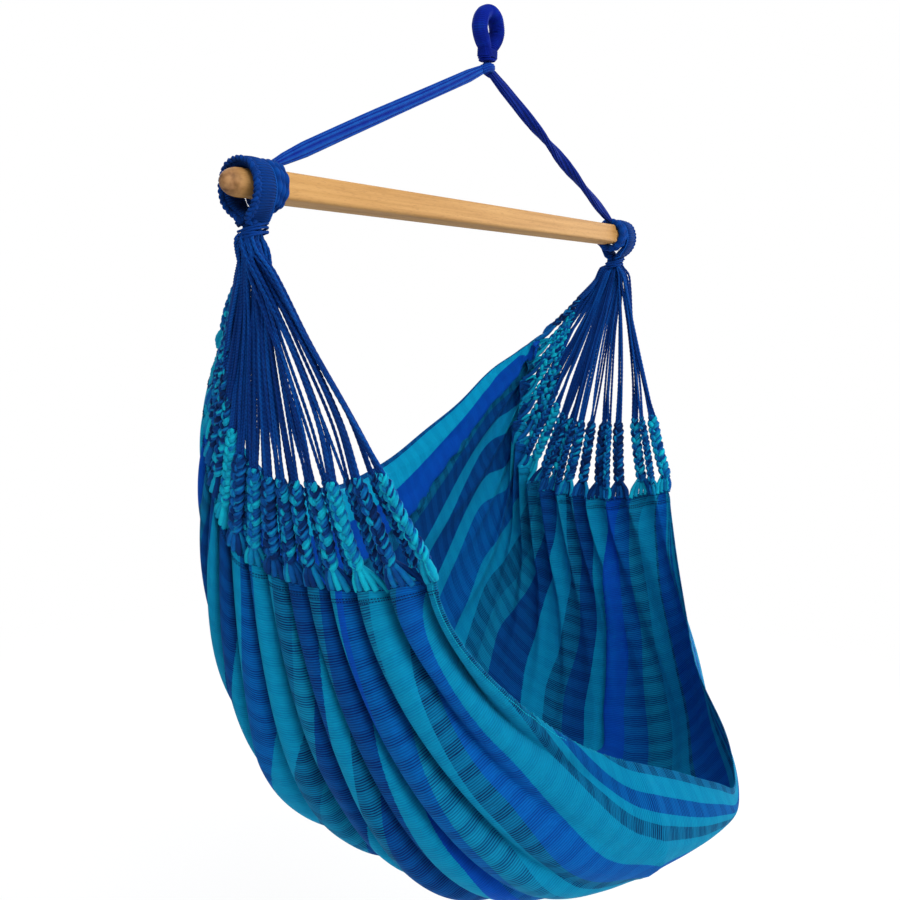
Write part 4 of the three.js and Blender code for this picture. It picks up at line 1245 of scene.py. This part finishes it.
braid_places = {(hand, n): braid_place(side, n) for hand, side in sides_named
                for n in range(braid_count)}
between_numbers = {"left": (6, 7, 8, 9, 10, 11, 12, 13, 14), "right": (6, 8, 9, 12, 14)}
between_places = {}
for hand, side in sides_named:
    for n in between_numbers[hand]:
        first, second = (braid_places[hand, k]["top_reach"] for k in (n, n + 1))
        between_places[hand, n] = with_top(braid_line(side, n + 0.5), (first + second) / 2)
print("braid widths in mm:",
      [round(braid_places["left", n]["width"] / mm, 1) for n in range(braid_count)])
print("thin plaits:", len(between_places))

# %% [markdown]
# ## Sling cords
# Two-ply cords, three to five from each braid and two from each thin plait. They leave the
# bundle in a thick hank, cross each other a little, and spread like a fan. Each ply is a bulge
# of the section that turns along the cord, so the twist shows in the outline and not only in
# the shading.

# %% Fan of cords
fan_radius, fan_pitch, lane_step = 2.45 * mm, 9 * mm, 3.2 * mm
few_lanes, usual_lanes = (-1, 0, 1), (-1.5, -0.5, 0.5, 1.5)
front_lanes, thin_lanes = (-1.6, -0.8, 0, 0.8, 1.6), (-0.6, 0.6)
front_drift = {13: 5, 14: 10, 15: -1}


def cord_path(side, order, first, last, along, drift, near):
    """A cord from the sling eye through the whipping and the hank to a braid's top."""
    middle_x = side * gather_x
    deep = draws.uniform(-7.5, 7.5) * mm
    head = np.array([middle_x + deep * 0.8, order * 10 * mm, -349 * mm])
    waist = np.array([middle_x + deep * 1.1, order * 12 * mm, -365 * mm])
    bulge = first + (last - first) * 0.05
    bulge[:2] += np.array([deep * 1.6, order * 13 * mm])
    hank = first + (last - first) * 0.14
    hank[:2] += np.array([deep * 1.2, order * 12 * mm])
    if near:
        for point, back in ((waist, 8), (bulge, 17), (hank, 15)):
            point[0] -= 7 * mm
            point[1] += (back + draws.uniform(-6, 6)) * mm
    sway = along * (drift + draws.uniform(-4.5, 4.5)) * mm
    sway = sway + np.array([draws.uniform(-4, 4), 0, 0]) * mm
    third = first + (last - first) * 0.42 + sway * 0.9 + np.array([0, order * 3 * mm, 0])
    if near:
        third += np.array([-4, 6, 0]) * mm
    late = first + (last - first) * 0.76 + sway
    return smooth_line([head, waist, bulge, hank, third, late, last], 120)


def fan_cord(bag, hand, side, number, place, lane):
    """One cord of a braid or of a thin plait, and how long it is."""
    last = place["top"] + place["along"] * lane * lane_step - place["up"] * 6 * mm
    order = 1 - 2 * place["place"] + draws.uniform(-0.22, 0.22)
    path = cord_path(side, order, place["start"], last, place["along"],
                     front_drift.get(number, 0), side < 0 and number > 11)
    run = run_along(path)
    section = lay_section(fan_radius, run, fan_pitch, 9, 2, 0.30, 1.0, draws.uniform(0, 3))
    # Painted shade: the dye is lighter where a ply bulges out and darker in the groove between
    # plies; the random part is the cord's own tone.
    ply_shade = np.hypot(section[..., 0], section[..., 1]) / fan_radius - 0.85
    put_tube(bag, path, place["out"], section, 0.50 + draws.uniform(-0.16, 0.16) + 1.6 * ply_shade)
    return float(run[-1])


for hand, side in sides_named:
    bag, runs = empty_bag(), []
    for number in range(braid_count):
        lanes = few_lanes if number in (11, 12) else front_lanes if number > 12 else usual_lanes
        for lane in lanes:
            runs.append(fan_cord(bag, hand, side, number, braid_places[hand, number], lane))
        if (hand, number) in between_places:
            for lane in thin_lanes:
                runs.append(fan_cord(bag, hand, side, number, between_places[hand, number], lane))
    cords = piece_of(f"cords_{hand}", bag, fan_yarn, "seat", "cobalt_cord", f"sling_cords_{hand}")
    print(cords.name, "cords:", len(runs), "in all", round(sum(runs), 2), "m")

# %% [markdown]
# ## Braids
# The warp threads that leave the hem are gathered in small tufts and plaited in three. Some
# braids are nearly all turquoise, some blue, most of them mixed, as the stripe below them is.
# A plait is three lines that swing from side to side with a third of a turn between them.

# %% Braid colours
# From the back braid to the front one, with the dye value in hundredths of each strand
left_dyes = [
    (72, 50, 66), (66, 74, 40), (40, 34, 62), (36, 70, 44), (34, 40, 46), (74, 42, 36),
    (80, 76, 70), (36, 30, 38), (62, 78, 42), (34, 30, 36), (32, 40, 52), (36, 66, 38),
    (76, 40, 34), (78, 72, 66), (34, 42, 30), (82, 78, 58)]
right_dyes = [
    (30, 36, 32), (78, 74, 60), (80, 70, 46), (60, 40, 72), (66, 50, 38), (72, 64, 34),
    (40, 66, 46), (76, 70, 62), (36, 44, 34), (70, 38, 50), (62, 36, 44), (34, 40, 36),
    (32, 30, 34), (30, 34, 31), (74, 46, 66), (78, 72, 44)]
braid_dyes = {"left": left_dyes, "right": right_dyes}
thin_dyes = (30, 36, 42)
print("braid dyes:", len(left_dyes), len(right_dyes))

# %% Plaited braids
def root_yarns(bag, place, low_end, end_column, hem_rows, dyes, yarns, reach, thick):
    """Short thick yarns that rise from the hem and gather into a braid's foot, like a flame."""
    hem_places = place_grid[hem_rows, end_column]
    for k in range(yarns):
        share = (k / (yarns - 1) - 0.5) * 2
        at = np.clip(place["place"] + share * reach, 0.002, 0.998)
        row = hem_rows[np.argmin(np.abs(hem_places - at))]
        root = sheet[row, end_column] - place["free"] * 5 * mm + normal[row, end_column] * 0.6 * mm
        tip = low_end + place["along"] * share * 3.2 * mm + place["up"] * 11 * mm
        bow = root * 0.62 + tip * 0.38 + place["along"] * share * 3.4 * mm
        bow = bow + place["out"] * draws.uniform(0.5, 3.0) * mm
        line = smooth_line([root, bow, tip], 16)
        size = np.interp(np.linspace(0, 1, 16), [0, 0.4, 1], [4.6, 4.8, 2.6]) * mm * thick
        put_tube(bag, line, place["out"], lay_section(size, run_along(line), 14 * mm, 12, 4, 0.22),
                 dyes[k % 3] + draws.uniform(-0.16, 0.20))


def plaited(bag, place, foot_rise, dyes, radius, spread, pitch, full_share, full_run, sway, mixed):
    """One braid from its low end to its top; it narrows where the braids crowd."""
    low_end = place["foot"] + place["up"] * foot_rise
    length = float(np.linalg.norm(place["top"] - low_end))
    count = max(int(length / (1.9 * mm)), 24)
    aside = place["along"] * draws.uniform(-sway, sway) * mm
    aside = aside + place["out"] * draws.uniform(-2.5, 2.5) * mm
    path = smooth_line([low_end, (low_end + place["top"]) / 2 + aside, place["top"]], count)
    run = run_along(path)
    crowd = np.clip((length - run) / max(length - full_run, 1e-4), 0, 1)
    scale = 0.55 + (full_share - 0.55) * crowd ** 0.6
    scale = scale * np.clip(0.80 + 0.20 * run / (10 * mm), 0, 1)
    flat = np.cross(place["along"], place["up"])
    plait(bag, path, flat, radius, spread, radius * 0.66, pitch, dyes, 20, scale, 1.25, 5, mixed)
    return low_end


for hand, side in sides_named:
    end_column = 0 if side < 0 else columns - 1
    hem_rows = np.flatnonzero(~folded[:, end_column])
    for number in range(braid_count):
        place = braid_places[hand, number]
        full_share = place["width"] / braid_wide * draws.uniform(0.97, 1.12)
        full_run = float(np.linalg.norm(place["full"] - place["foot"] - place["up"] * foot_end))
        bag = empty_bag()
        dyes = [d / 100 + draws.uniform(-0.05, 0.05) for d in braid_dyes[hand][number]]
        low_end = plaited(bag, place, foot_end, dyes, 4.5 * mm, 5.9 * mm,
                          draws.uniform(38, 44) * mm, full_share, full_run, 3.0, 0.30)
        root_yarns(bag, place, low_end, end_column, hem_rows, dyes, 6, 0.024,
                   0.6 + 0.4 * min(full_share, 1))
        if (hand, number) in between_places:
            thin = between_places[hand, number]
            dyes = [d / 100 + draws.uniform(-0.06, 0.16) for d in thin_dyes]
            low_end = plaited(bag, thin, 15 * mm, dyes, 3.3 * mm, 4.2 * mm,
                              draws.uniform(30, 36) * mm, 1.0, full_run, 2.0, 0.26)
            root_yarns(bag, thin, low_end, end_column, hem_rows, dyes, 3, 0.009, 0.8)
        node = f"{hand}_{number + 1:02d}"
        piece_of(f"plait_{node}", bag, braid_yarn, "seat", "turquoise_cord", f"braid_{node}")

# %% Finish
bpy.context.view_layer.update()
